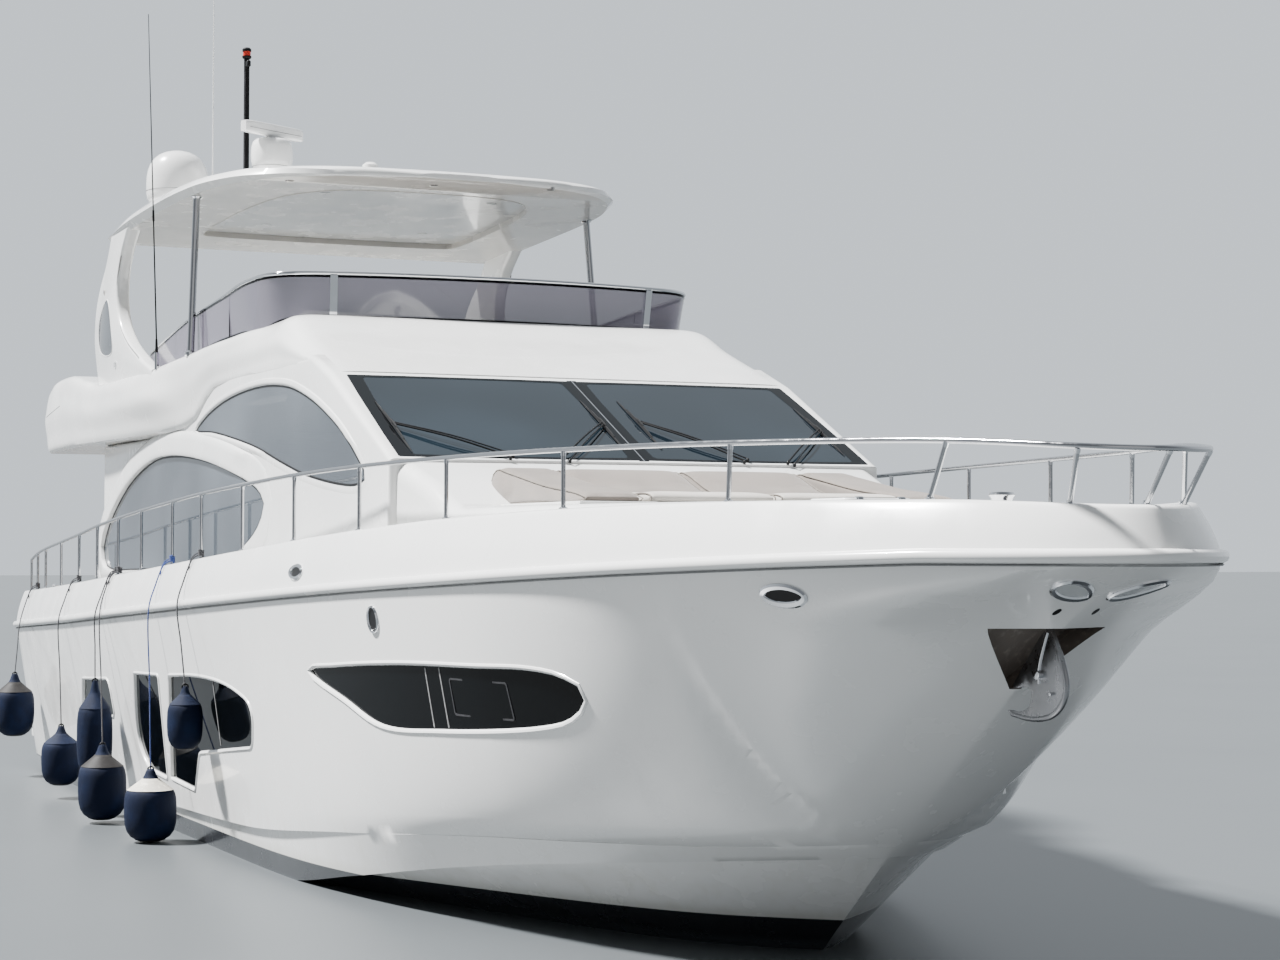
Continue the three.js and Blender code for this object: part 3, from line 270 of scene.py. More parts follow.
def tube(points, radius, sides=12, closed=False):
    """Round bar along points, with one radius or one for each point."""
    p = np.asarray(points, float)
    radii = np.broadcast_to(radius, len(p))
    heading = np.roll(p, -1, axis=0) - np.roll(p, 1, axis=0) if closed else np.gradient(p, axis=0)
    heading /= np.linalg.norm(heading, axis=1)[:, None]
    side = np.cross(heading[0], (0, 0, 1) if abs(heading[0][2]) < 0.9 else (1, 0, 0))
    rings = []
    for place, ahead, r in zip(p, heading, radii):
        side = side - ahead * side.dot(ahead)
        side /= np.linalg.norm(side)
        other = np.cross(ahead, side)
        a = np.linspace(0, 2 * math.pi, sides, endpoint=False)[:, None]
        rings.append(place + r * (np.cos(a) * side + np.sin(a) * other))
    return loft(rings, around=closed)


def lathe(profile, at=(0, 0, 0), axis=(0, 0, 1), sides=48):
    """Body turned about an axis, from rows of (radius, distance along the axis)."""
    turn = Vector((0, 0, 1)).rotation_difference(Vector(axis)).to_matrix()
    a = np.linspace(0, 2 * math.pi, sides, endpoint=False)
    rings = [np.column_stack([max(r, 1e-4) * np.cos(a), max(r, 1e-4) * np.sin(a), np.full(sides, h)])
             for r, h in profile]
    points, faces = loft(rings)
    return points @ np.array(turn).T + at, faces


def shell(outline, place, low, high, spacing=None):
    """Plate of an outline, laid on a surface by place(u, v, depth), between two depths."""
    edge = np.asarray(outline, float)
    flat = [Vector(p) for p in edge]
    if spacing:
        lowest, highest = edge.min(0), edge.max(0)
        for u in np.arange(lowest[0] + spacing / 2, highest[0], spacing):
            for v in np.arange(lowest[1] + spacing / 2, highest[1], spacing):
                if np.min(np.hypot(*(edge - (u, v)).T)) > spacing * 0.45:
                    flat.append(Vector((u, v)))
    found, _, triangles, *_ = delaunay_2d_cdt(flat, [], [list(range(len(edge)))], 1, 1e-7)
    uv = np.array([tuple(p) for p in found])
    n = len(uv)
    used = {}
    for face in triangles:
        for k, a in enumerate(face):
            used[(a, face[(k + 1) % len(face)])] = True
    walls = [(b, a, a + n, b + n) for a, b in used if (b, a) not in used]
    points = np.vstack([place(uv[:, 0], uv[:, 1], high), place(uv[:, 0], uv[:, 1], low)])
    faces = [tuple(f) for f in triangles] + [tuple(i + n for i in reversed(f)) for f in triangles]
    return points, faces + walls


def trim(outline, section, place):
    """Moulding round an outline, from a closed section of (inset, depth) rows."""
    rings = []
    for distance, depth in section:
        moved = inset(outline, distance)
        rings.append(place(moved[:, 0], moved[:, 1], depth))
    return loft(rings, around=True)


def cuboid(x0, x1, y0, y1, z0, z1):
    ring = ((x0, y0), (x1, y0), (x1, y1), (x0, y1))
    return loft([[(x, y, z) for x, y in ring] for z in (z0, z1)])


def pillow(x0, x1, y0, y1, z0, z1, radius=0.05, crown=0.0, steps=6, rows=14):
    """Block with all edges round and its top crowned."""
    rings = []
    for a in np.linspace(-90, 90, steps * 2):
        s, c = math.sin(math.radians(a)), math.cos(math.radians(a))
        ring = rounded_box(x0 + radius * (1 - c), x1 - radius * (1 - c), y0 + radius * (1 - c),
                           y1 - radius * (1 - c), radius * 1.2, rows // 2)
        z = (z0 + radius if s < 0 else z1 - radius) + radius * s
        rings.append([(x, y, z) for x, y in ring])
    top = np.array(rings[-1])
    middle = top.mean(0)
    for k in np.linspace(0.85, 0.05, 6):
        ring = middle + (top - middle) * k
        ring[:, 2] = z1 + crown * (1 - k ** 2)
        rings.append(ring)
    return loft(rings)


def mirror(part):
    return part[0] * np.array((1, -1, 1)), part[1]


# Places on surfaces: each takes outline coordinates and a depth outward

def on_side(sign, half=HOUSE_HALF):
    return lambda u, v, depth: np.column_stack([u, np.full_like(u, sign * (half + depth)), v])


def on_level(z):
    return lambda u, v, depth: np.column_stack([u, v, np.full_like(u, z + depth)])


def on_bulkhead(x, facing=-1):
    return lambda u, v, depth: np.column_stack([np.full_like(u, x + facing * depth), u, v])


shield_run = np.subtract(SHIELD_TOP, SHIELD_BASE)
SHIELD_LENGTH = float(np.hypot(*shield_run))
UP_SHIELD = shield_run / SHIELD_LENGTH
OUT_SHIELD = np.array((UP_SHIELD[1], -UP_SHIELD[0]))


def on_shield(u, v, depth):
    """Windshield slope: u across to port, v up the slope."""
    x = SHIELD_BASE[0] + UP_SHIELD[0] * v + OUT_SHIELD[0] * depth
    z = SHIELD_BASE[1] + UP_SHIELD[1] * v + OUT_SHIELD[1] * depth
    return np.column_stack([x, u, z])


def stem_x(z):
    return along(STEM, z)


def half_breadth(form, x, nose_x):
    beam, run, fullness, bluntness = form
    ahead = np.clip((nose_x - x) / run, 0, 1)
    bow = (1 - (1 - ahead) ** fullness) ** (1 / bluntness)
    aft = np.maximum(FULL_TO_X - x, 0) / (FULL_TO_X - TRANSOM_X)
    return beam * bow * (1 - STERN_TAPER * aft * aft)


def topside_nose(v):
    return stem_x(KNUCKLE_STEM_Z + (NOSE_Z - KNUCKLE_STEM_Z) * v)


def topside_half(v, x):
    """Half-breadth of the topside at v, 0 on the knuckle and 1 on the rub rail."""
    low = half_breadth(FORMS["knuckle"], x, stem_x(KNUCKLE_STEM_Z))
    high = half_breadth(FORMS["rub"], x, stem_x(NOSE_Z))
    side = np.maximum(low + (high - low) * v ** along(FILL_POWER, x), LEAST)
    ahead = np.maximum(topside_nose(v) - x, 0)
    wedge = np.maximum(along(WEDGE_WIDTH, v) * ahead ** along(WEDGE_POWER, v), LEAST)
    return (side ** -WEDGE_BLEND + wedge ** -WEDGE_BLEND) ** (-1 / WEDGE_BLEND) * (ahead > 0)


def hull_half(x, z):
    """Half-breadth of the topside at a place and height."""
    low, high = along(KNUCKLE, x), along(RUB, x)
    return topside_half(np.clip((z - low) / (high - low), 0, 1), x)


def on_skin(half_at, sign):
    """Lays an outline of (x, z) on a skin that is given as its half-breadth."""
    def place(u, v, depth):
        e = 0.01
        slope_x = (half_at(u + e, v) - half_at(u - e, v)) / (2 * e)
        slope_z = (half_at(u, v + e) - half_at(u, v - e)) / (2 * e)
        size = np.sqrt(1 + slope_x ** 2 + slope_z ** 2)
        return np.column_stack([u - slope_x / size * depth, sign * (half_at(u, v) + depth / size),
                                v - slope_z / size * depth])
    return place


def bow_x(y, z):
    """Place along the hull where the topside has a half-breadth at a height."""
    low, high = np.full_like(y, 8.0), np.full_like(y, 12.2)
    for _ in range(40):
        middle = (low + high) / 2
        wide = hull_half(middle, z) > y
        low, high = np.where(wide, middle, low), np.where(wide, high, middle)
    return low


def on_bow(sign):
    """Lays an outline of (half-breadth, height) on the topside beside the stem."""
    def place(u, v, depth):
        e = 0.01
        slope_y = (bow_x(u + e, v) - bow_x(u - e, v)) / (2 * e)
        slope_z = (bow_x(u, v + e) - bow_x(u, v - e)) / (2 * e)
        size = np.sqrt(1 + slope_y ** 2 + slope_z ** 2)
        return np.column_stack([bow_x(u, v) + depth / size, sign * (u - slope_y / size * depth),
                                v - slope_z / size * depth])
    return place


def bulwark_half(x, z):
    low, high = along(RUB, x), along(CAP, x)
    t = np.clip((z - low) / (high - low), 0, 1)
    outer = half_breadth(FORMS["rub"], x, stem_x(NOSE_Z))
    inner = half_breadth(FORMS["cap"], x, CAP_NOSE_X)
    return outer + (inner - outer) * t + 0.02 * np.sin(math.pi * t)


# Materials

class Look:
    """A Principled material and the nodes that vary it, in the piece's own coordinates."""

    def __init__(self, name, colour, roughness, **sockets):
        self.made = bpy.data.materials.new(name)
        self.made.use_nodes = True
        self.tree = self.made.node_tree
        self.shader = self.tree.nodes["Principled BSDF"]
        self.shader.inputs["Base Color"].default_value = (*colour, 1)
        self.shader.inputs["Roughness"].default_value = roughness
        self.colour = None
        self.height = None
        for key, value in sockets.items():
            self.shader.inputs[key.replace("_", " ")].default_value = value
        coordinates = self.tree.nodes.new("ShaderNodeTexCoord")
        self.place = coordinates.outputs["Object"]

    def node(self, kind, inputs=(), **settings):
        node = self.tree.nodes.new("ShaderNode" + kind)
        for key, value in settings.items():
            setattr(node, key, value)
        for key, value in dict(inputs).items():
            if isinstance(value, bpy.types.NodeSocket):
                self.tree.links.new(value, node.inputs[key])
            else:
                node.inputs[key].default_value = value
        return node

    def stretched(self, scale):
        return self.node("Mapping", {"Vector": self.place, "Scale": scale}).outputs["Vector"]

    def noise(self, scale, detail=3, stretch=(1, 1, 1), distortion=0.0):
        inputs = {"Vector": self.stretched(stretch), "Scale": scale, "Detail": detail,
                  "Distortion": distortion}
        return self.node("TexNoise", inputs).outputs["Fac"]

    def cells(self, scale):
        inputs = {"Vector": self.stretched((1, 1, 1)), "Scale": scale}
        return self.node("TexVoronoi", inputs).outputs["Distance"]

    def wave(self, scale, direction="X"):
        inputs = {"Vector": self.place, "Scale": scale, "Distortion": 0.0, "Detail": 1}
        return self.node("TexWave", inputs, bands_direction=direction).outputs["Fac"]

    def axis(self, name):
        return self.node("SeparateXYZ", {"Vector": self.place}).outputs[name]

    def math(self, operation, a, b=0.0):
        return self.node("Math", {0: a, 1: b}, operation=operation).outputs[0]

    def between(self, value, low, high, out_low=0.0, out_high=1.0):
        inputs = {"Value": value, "From Min": low, "From Max": high, "To Min": out_low, "To Max": out_high}
        return self.node("MapRange", inputs, interpolation_type="SMOOTHSTEP").outputs["Result"]

    def paint(self, mask, colour):
        """Lays a colour over what is there, where the mask is 1."""
        below = self.colour if self.colour else tuple(self.shader.inputs["Base Color"].default_value)
        mix = self.node("Mix", {0: mask, 6: below, 7: (*colour, 1)}, data_type="RGBA")
        self.colour = mix.outputs[2]
        self.tree.links.new(self.colour, self.shader.inputs["Base Color"])
        return self

    def rough(self, value, low, high):
        result = self.between(value, 0.3, 0.7, low, high)
        self.tree.links.new(result, self.shader.inputs["Roughness"])
        return self

    def bump(self, height, distance, strength=1.0):
        inputs = {"Height": height, "Distance": distance, "Strength": strength}
        if self.height:
            inputs["Normal"] = self.height
        self.height = self.node("Bump", inputs).outputs["Normal"]
        self.tree.links.new(self.height, self.shader.inputs["Normal"])
        return self


def gelcoat(name="gelcoat", colour=(0.80, 0.80, 0.785), shade=(0.76, 0.765, 0.755)):
    look = Look(name, colour, 0.22, Coat_Weight=0.6, Coat_Roughness=0.04, Specular_IOR_Level=0.5)
    look.paint(look.between(look.noise(0.9, 4), 0.35, 0.75, 0, 0.8), shade)
    look.rough(look.noise(2.5, 4), 0.17, 0.3)
    look.bump(look.noise(45, 2), 0.0004, 0.25)
    return look


def hull_paint():
    look = gelcoat("hull_gelcoat")
    height = look.axis("Z")
    rise = look.between(look.axis("X"), 0.0, 8.0, 0, BOOT_BOW_Z - BOOT_AFT_Z)
    level = look.math("SUBTRACT", height, rise)
    streaks = look.noise(6, 4, (1.4, 1.4, 0.12))
    stain = look.math("MULTIPLY", look.between(level, 1.1, 0.25), look.between(streaks, 0.45, 0.8))
    look.paint(look.math("MULTIPLY", stain, 0.35), (0.62, 0.61, 0.54))
    scum = look.math("MULTIPLY", look.between(level, BOOT_AFT_Z + 0.12, BOOT_AFT_Z), 0.5)
    look.paint(scum, (0.56, 0.56, 0.5))
    look.paint(look.between(level, BOOT_AFT_Z + 0.004, BOOT_AFT_Z - 0.004), (0.012, 0.013, 0.016))
    look.paint(look.between(level, 0.035, -0.02), (0.03, 0.035, 0.04))
    return look


def deck_grip():
    look = Look("deck_grip", (0.74, 0.74, 0.72), 0.6)
    look.bump(look.cells(95), 0.0012, 0.8)
    look.paint(look.between(look.noise(3, 4), 0.4, 0.75), (0.69, 0.69, 0.665))
    return look


PLANK = 0.06
CAULK = 0.09


def teak(name="teak", across="Y"):
    look = Look(name, (0.40, 0.245, 0.13), 0.62)
    count = look.math("DIVIDE", look.axis(across), PLANK)
    part = look.math("FRACT", count)
    plank = look.math("FLOOR", count)
    own = look.node("TexWhiteNoise", {"W": plank}, noise_dimensions="1D").outputs["Value"]
    long_grain = (1.5, 40, 1.5) if across == "Y" else (40, 1.5, 1.5)
    look.paint(look.math("MULTIPLY", own, 0.6), (0.47, 0.31, 0.185))
    look.paint(look.between(look.noise(2, 5, long_grain, 0.4), 0.4, 0.75, 0, 0.75), (0.27, 0.155, 0.08))
    look.paint(look.between(look.noise(1.1, 3), 0.45, 0.8, 0, 0.5), (0.5, 0.42, 0.34))
    seam = look.math("LESS_THAN", part, CAULK)
    look.paint(seam, (0.018, 0.017, 0.016))
    look.bump(look.math("SUBTRACT", 1.0, seam), 0.0015, 0.6)
    look.bump(look.noise(3, 4, long_grain), 0.0008, 0.5)
    return look


def joinery():
    look = Look("walnut", (0.13, 0.065, 0.035), 0.3, Coat_Weight=0.5, Coat_Roughness=0.1)
    look.paint(look.between(look.noise(3, 5, (1, 14, 14), 1.2), 0.35, 0.7), (0.22, 0.12, 0.065))
    look.bump(look.noise(5, 4, (1, 20, 20)), 0.0005, 0.4)
    return look


def polished(name, colour, low=0.08, high=0.2):
    look = Look(name, colour, low, Metallic=1.0)
    look.rough(look.noise(14, 4), low, high)
    look.bump(look.noise(120, 2), 0.0002, 0.15)
    return look


def bronze():
    look = Look("bronze", (0.45, 0.27, 0.11), 0.32, Metallic=1.0)
    look.paint(look.between(look.noise(7, 5), 0.5, 0.75, 0, 0.7), (0.16, 0.2, 0.14))
    look.rough(look.noise(12, 4), 0.25, 0.5)
    look.bump(look.noise(60, 3), 0.0006, 0.4)
    return look


def glass(name, colour, alpha, painted_reflection=(0.35, 0.4, 0.45), amount=0.25, shine=0.6):
    look = Look(name, colour, 0.03, Alpha=alpha, IOR=1.5, Specular_IOR_Level=shine, Coat_Weight=shine / 2)
    # Pale patches of the second colour across the glass: painted reflection.
    look.paint(look.between(look.noise(0.45, 2), 0.35, 0.8, 0, amount), painted_reflection)
    look.bump(look.noise(0.8, 2), 0.002, 0.15)
    return look


def rubber(name="black_trim", colour=(0.006, 0.006, 0.0065), roughness=0.45):
    look = Look(name, colour, roughness, Specular_IOR_Level=0.15)
    look.paint(look.between(look.noise(20, 4), 0.5, 0.8, 0, 0.5), tuple(c * 2.2 for c in colour))
    look.bump(look.noise(220, 2), 0.0003, 0.4)
    return look


def cloth(name, colour, shade, weave=520.0):
    look = Look(name, colour, 0.9, Sheen_Weight=0.35, Sheen_Roughness=0.4)
    look.paint(look.between(look.noise(2.2, 4), 0.35, 0.75), shade)
    threads = look.math("MULTIPLY", look.wave(weave, "X"), look.wave(weave, "Y"))
    look.bump(threads, 0.0008, 0.5)
    look.bump(look.noise(7, 3), 0.006, 0.25)
    return look


def fender_cover():
    look = Look("fender_cover", (0.001, 0.0045, 0.019), 0.7, Specular_IOR_Level=0.15)
    look.paint(look.between(look.noise(5, 4), 0.42, 0.75, 0, 0.8), (0.002, 0.0085, 0.033))
    look.bump(look.noise(9, 4, (1.5, 1.5, 0.5)), 0.008, 0.35)
    look.bump(look.wave(260, "Z"), 0.0008, 0.5)
    return look


def rope(name, colour):
    look = Look(name, colour, 0.8, Sheen_Weight=0.2)
    look.paint(look.between(look.noise(60, 3), 0.4, 0.7, 0, 0.7), tuple(c * 0.55 for c in colour))
    look.bump(look.wave(150, "DIAGONAL"), 0.002, 0.6)
    return look


class Materials:
    """Every material, made once."""

    def __init__(self):
        makers = {
            "gelcoat": gelcoat(),
            "hull_paint": hull_paint(),
            # Darker beige copy of the gelcoat for the undersides of the fly and hardtop: painted shade.
            "soffit": gelcoat("soffit", (0.56, 0.53, 0.485), (0.51, 0.485, 0.445)),
            "light_panel": gelcoat("light_panel", (0.46, 0.465, 0.455), (0.43, 0.435, 0.43)),
            "radome": gelcoat("radome", (0.78, 0.78, 0.77), (0.72, 0.72, 0.72)),
            "deck_grip": deck_grip(),
            "teak": teak(),
            "teak_across": teak("teak_across", "X"),
            "walnut": joinery(),
            "steel": polished("stainless", (0.47, 0.475, 0.49)),
            "chrome": polished("chrome", (0.72, 0.73, 0.75), 0.03, 0.1),
            "dull_steel": polished("dull_steel", (0.56, 0.54, 0.51), 0.22, 0.4),
            "bronze": bronze(),
            # A second colour given to a glass is painted reflection, laid over it in patches.
            "side_glass": glass("side_glass", (0.045, 0.055, 0.068), 0.8),
            "shield_glass": glass("shield_glass", (0.005, 0.009, 0.013), 0.93, (0.02, 0.033, 0.045), 0.35,
                                  0.18),
            "hull_glass": glass("hull_glass", (0.0015, 0.002, 0.0025), 1.0, (0.003, 0.0035, 0.004),
                                shine=0.06),
            "door_glass": glass("door_glass", (0.05, 0.06, 0.07), 0.55),
            "screen_glass": glass("screen_glass", (0.14, 0.125, 0.165), 0.66, (0.22, 0.2, 0.25)),
            "lens": glass("lens", (0.6, 0.62, 0.63), 0.6),
            "black": rubber(),
            "seal": rubber("seal", (0.035, 0.035, 0.038), 0.5),
            "grey_trim": rubber("grey_trim", (0.2, 0.2, 0.2), 0.5),
            "cushion": cloth("cushion_cloth", (0.19, 0.162, 0.14), (0.155, 0.133, 0.115)),
            "light_cushion": cloth("light_cushion_cloth", (0.5, 0.47, 0.43), (0.44, 0.41, 0.37)),
            "curtain": cloth("curtain_cloth", (0.6, 0.58, 0.54), (0.5, 0.48, 0.45)),
            "carpet": cloth("carpet", (0.3, 0.26, 0.21), (0.24, 0.2, 0.16), 300.0),
            "piping": rubber("piping", (0.18, 0.16, 0.14), 0.6),
            "fender": fender_cover(),
            # Flat brown-grey standing in for the anchor pocket's steel lining: painted reflection, kept light
            # against the shade in the recess.
            "pocket_steel": rubber("pocket_steel", (0.27, 0.235, 0.21), 0.35),
            "anchor_steel": polished("anchor_steel", (0.3, 0.3, 0.31), 0.25, 0.4),
            "cream_vinyl": rubber("cream_vinyl", (0.58, 0.55, 0.48), 0.5),
            "grey_vinyl": rubber("grey_vinyl", (0.014, 0.0125, 0.012), 0.6),
            # Lighter grey for the cap under each fender: painted highlight of light from below.
            "worn_vinyl": rubber("worn_vinyl", (0.04, 0.037, 0.035), 0.6),
            "blue_rope": rope("blue_rope", (0.012, 0.045, 0.24)),
            "dark_rope": rope("dark_rope", (0.02, 0.02, 0.026)),
            "pale_rope": rope("pale_rope", (0.2, 0.19, 0.17)),
            "red_lamp": rubber("red_lamp", (0.4, 0.03, 0.02), 0.2),
        }
        for name, look in makers.items():
            setattr(self, name, look.made)


M = Materials()

# Which body each node of the model has
record = frame["record"]
BODY_OF = {node: body for body, nodes in record["behaviour"]["bodies"].items() for node in nodes}


class Shape:
    """Closed shells with their materials, joined into one mesh."""

    def __init__(self):
        self.points, self.faces, self.marks, self.materials = [], [], [], []
        self.count = 0

    def mark(self, material):
        if material not in self.materials:
            self.materials.append(material)
        return self.materials.index(material)

    def add(self, part, material):
        points, faces = part
        self.faces += [tuple(i + self.count for i in face) for face in faces]
        self.marks += [self.mark(material)] * len(faces)
        self.points.append(np.asarray(points, float))
        self.count += len(points)
        return self

    def both(self, part, material):
        return self.add(part, material).add(mirror(part), material)

    def object(self, name, sharp=35):
        mesh = bpy.data.meshes.new(name)
        mesh.from_pydata(np.concatenate(self.points).tolist(), [], self.faces)
        for material in self.materials:
            mesh.materials.append(material)
        mesh.polygons.foreach_set("material_index", self.marks)
        work = bmesh.new()
        work.from_mesh(mesh)
        bmesh.ops.remove_doubles(work, verts=work.verts, dist=2e-5)
        bmesh.ops.dissolve_degenerate(work, edges=work.edges, dist=1e-6)
        bmesh.ops.recalc_face_normals(work, faces=work.faces)
        work.to_mesh(mesh)
        work.free()
        obj = bpy.data.objects.new(name, mesh)
        scene.collection.objects.link(obj)
        smooth(obj, sharp)
        return obj


def smooth(obj, sharp=35):
    obj.data.shade_smooth()
    obj.data.set_sharp_from_angle(angle=math.radians(sharp))


def applied(obj, sharp=None):
    """Makes the modifiers' result the object's own mesh."""
    graph = bpy.context.evaluated_depsgraph_get()
    mesh = bpy.data.meshes.new_from_object(obj.evaluated_get(graph))
    obj.modifiers.clear()
    obj.data = mesh
    if sharp:
        smooth(obj, sharp)
    return obj


def bevelled(obj, width, segments=2, angle=40, sharp=35):
    bevel = obj.modifiers.new("bevel", "BEVEL")
    bevel.width = width
    bevel.segments = segments
    bevel.limit_method = "ANGLE"
    bevel.angle_limit = math.radians(angle)
    return applied(obj, sharp)


def cut(obj, cutter, sharp=35):
    """Takes a Shape's shells away from an object."""
    tool = cutter.object("cutter")
    difference = obj.modifiers.new("cut", "BOOLEAN")
    difference.operation = "DIFFERENCE"
    difference.solver = "EXACT"
    difference.material_mode = "TRANSFER"
    difference.object = tool
    applied(obj, sharp)
    bpy.data.objects.remove(tool)
    return obj


def show(obj, node):
    """Lets an object stand for a node of the model, on its body."""
    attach(obj, BODY_OF[node])
    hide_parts(node)
    return obj


def fitted(obj, body="boat"):
    """A piece of trim that stands for no node."""
    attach(obj, body)
    return obj


# Floor and light

BACKDROP_WAY = (-0.91, 0.41, 0)
BACKDROP_LIGHT = (0.86, 0.93, 1.0, 1)
ROOM_LIGHT = (0.21, 0.225, 0.245, 1)
FLOOR_REACH = 260
# Lamps: name, direction toward the lamp, strength and angle in degrees
LAMPS = (("key", (-0.32, -0.55, 0.9), 20.0, 6), ("fill", (0.9, -0.3, 0.35), 0.25, 50))


def studio_world():
    """Soft light from all around, brighter from the side of the backdrop."""
    world = bpy.data.worlds.new("studio")
    world.use_nodes = True
    nodes, links = world.node_tree.nodes, world.node_tree.links
    background = nodes["Background"]
    way = nodes.new("ShaderNodeTexCoord").outputs["Generated"]
    dot = nodes.new("ShaderNodeVectorMath")
    dot.operation = "DOT_PRODUCT"
    dot.inputs[1].default_value = BACKDROP_WAY
    links.new(way, dot.inputs[0])
    part = nodes.new("ShaderNodeMapRange")
    part.interpolation_type = "SMOOTHSTEP"
    part.inputs["From Min"].default_value = -0.6
    part.inputs["From Max"].default_value = 0.75
    links.new(dot.outputs["Value"], part.inputs["Value"])
    mix = nodes.new("ShaderNodeMix")
    mix.data_type = "RGBA"
    mix.inputs[6].default_value = ROOM_LIGHT
    mix.inputs[7].default_value = BACKDROP_LIGHT
    links.new(part.outputs["Result"], mix.inputs[0])
    links.new(mix.outputs[2], background.inputs["Color"])
    background.inputs["Strength"].default_value = 1.0
    return world


def make_stage():
    mesh = bpy.data.meshes.new("floor")
    corners = ((-1, -1), (1, -1), (1, 1), (-1, 1))
    mesh.from_pydata([(x * FLOOR_REACH, y * FLOOR_REACH, 0) for x, y in corners], [], [(0, 1, 2, 3)])
    floor = bpy.data.objects.new("floor", mesh)
    scene.collection.objects.link(floor)
    look = Look("floor", (0.075, 0.083, 0.088), 0.42)
    look.paint(look.between(look.noise(0.25, 4), 0.35, 0.75), (0.07, 0.078, 0.083))
    mesh.materials.append(look.made)
    scene.world = studio_world()
    for name, direction, strength, angle in LAMPS:
        lamp = bpy.data.lights.new(name, "SUN")
        lamp.energy = strength
        lamp.angle = math.radians(angle)
        light = bpy.data.objects.new(name, lamp)
        scene.collection.objects.link(light)
        light.rotation_mode = "QUATERNION"
        light.rotation_quaternion = Vector(direction).to_track_quat("Z", "Y")


make_stage()


# Hull

HULL_STATIONS = 170
CHINE_FLAT = 0.07
KNUCKLE_STEP = 0.045
EDGE_ROUND = 0.02
WINDOW_DEPTH = 0.035
BOW_WINDOW = ((3.332, 2.007), (3.961, 2.068), (5.267, 2.14), (6.414, 2.163), (7.202, 2.174), (7.531, 2.136),
              (7.737, 2.041), (7.692, 1.945), (7.493, 1.82), (7.14, 1.743), (5.775, 1.638), (4.745, 1.621),
              (4.096, 1.793))
# Windows with corners, midship, cabin and aft: x, z and the reach of each rounded corner
CORNERED_WINDOWS = (
    ((-1.42, 1.73, 0.03), (-0.35, 1.785, 0.9), (0.75, 1.765, 0.9), (1.62, 1.6, 0.3), (1.45, 1.2, 0.1),
                (-0.58, 1.0, 0.07), (-0.97, 0.58, 0.03), (-1.93, 0.62, 0.03)),
    ((-3.02, 1.68, 0.03), (-1.92, 1.71, 0.03), (-2.13, 0.6, 0.04), (-3.02, 0.64, 0.25), (-3.35, 1.0, 0.5)),
    ((-5.92, 1.48, 0.05), (-4.4, 1.55, 0.15), (-4.35, 1.14, 0.1), (-6.27, 1.02, 0.05)),
)
WINDOW_STRIPS = ((5.66, 1.65, 2.13), (5.89, 1.66, 2.14), (0.25, 1.12, 1.77))
OPENING_PORT = (6.02, 6.84, 1.765, 2.065)
POCKET_LOW = (10.0, 10.75, 0.045, 2.15)
POCKET_HIGH = (10.3, 11.4, 0.465, 2.575)
GARAGE_HALF = 1.5
GARAGE_LOW_Z = 0.62
GARAGE_HIGH_Z = 1.62


def line(form, heights, nose_x, u):
    """Line of the hull from the transom to its nose, with its plan form and its heights."""
    x = TRANSOM_X + (nose_x - TRANSOM_X) * u
    height = heights(x) if callable(heights) else along(heights, x)
    return np.column_stack([x, half_breadth(FORMS[form], x, nose_x), height])


def deck_height(x):
    rows = np.asarray(CAP_ABOVE_DECK)
    return along(CAP, x) - np.interp(x, rows[:, 0], rows[:, 1])


def hull_rows(u):
    """Lines of the port side from the keel to the crown of the deck."""
    keel_x = TRANSOM_X + (CHINE_STEM_X - TRANSOM_X) * u
    keel = np.column_stack([keel_x, 0 * u, along(KEEL, keel_x)])
    chine = line("chine", CHINE, CHINE_STEM_X, u)
    knuckle = line("knuckle", KNUCKLE, stem_x(KNUCKLE_STEM_Z), u)
    narrow = np.minimum(1, chine[:, 1:2] / 0.6)
    flat = chine - np.array((0, CHINE_FLAT, 0)) * narrow
    step = KNUCKLE_STEP * (1 - 0.75 * ease((knuckle[:, :1] - 1.5) / 3))
    under = knuckle - np.array((0, 1, 0.15)) * step * narrow
    rows = [keel + (flat - keel) * t for t in np.linspace(0, 1, 8)]
    rows += [chine + (under - chine) * t for t in (0, 0.35, 0.7, 1)]
    for v in np.linspace(0, 1, 26):
        x = TRANSOM_X + (topside_nose(v) - TRANSOM_X) * u
        half = topside_half(v, x) * (u < 1)
        rows.append(np.column_stack([x, half, along(KNUCKLE, x) * (1 - v) + along(RUB, x) * v]))
    edge = line("deck", deck_height, CAP_NOSE_X - CAP_WIDTH, u)
    for t in np.linspace(0, 1, 7):
        rows.append(edge * (1, 1 - t,
                            1) + np.column_stack([0 * u, 0 * u, CAMBER * edge[:, 1] * (1 - (1 - t) ** 2)]))
    return rows


def hull_shell():
    u = 1 - (1 - np.linspace(0, 1, HULL_STATIONS)) ** 1.7
    rows = np.stack(hull_rows(u))
    rings = np.concatenate([rows, (rows[1:-1] * (1, -1, 1))[::-1]]).transpose(1, 0, 2)
    stern = rings[0]
    middle = np.array((TRANSOM_X, 0, 0.9))
    inward = (middle - stern) / np.linalg.norm(middle - stern, axis=1)[:, None]
    start = []
    for a in np.radians((0, 30, 60)):
        pulled = stern + inward * EDGE_ROUND * (1 - math.sin(a))
        pulled[:, 0] = TRANSOM_X + EDGE_ROUND * (1 - math.cos(a))
        start.append(pulled)
    stern[:, 0] += EDGE_ROUND
    return loft(np.concatenate([start, rings]))


def window_outlines():
    return [spline(BOW_WINDOW, 72, closed=True)] + [filleted(rows, 9) for rows in CORNERED_WINDOWS]


def pocket_shell():
    rings = []
    for x0, x1, half, z in (POCKET_LOW, POCKET_HIGH):
        rings.append([(x0, -half, z), (x1, -half, z), (x1, half, z), (x0, half, z)])
    return loft(rings)


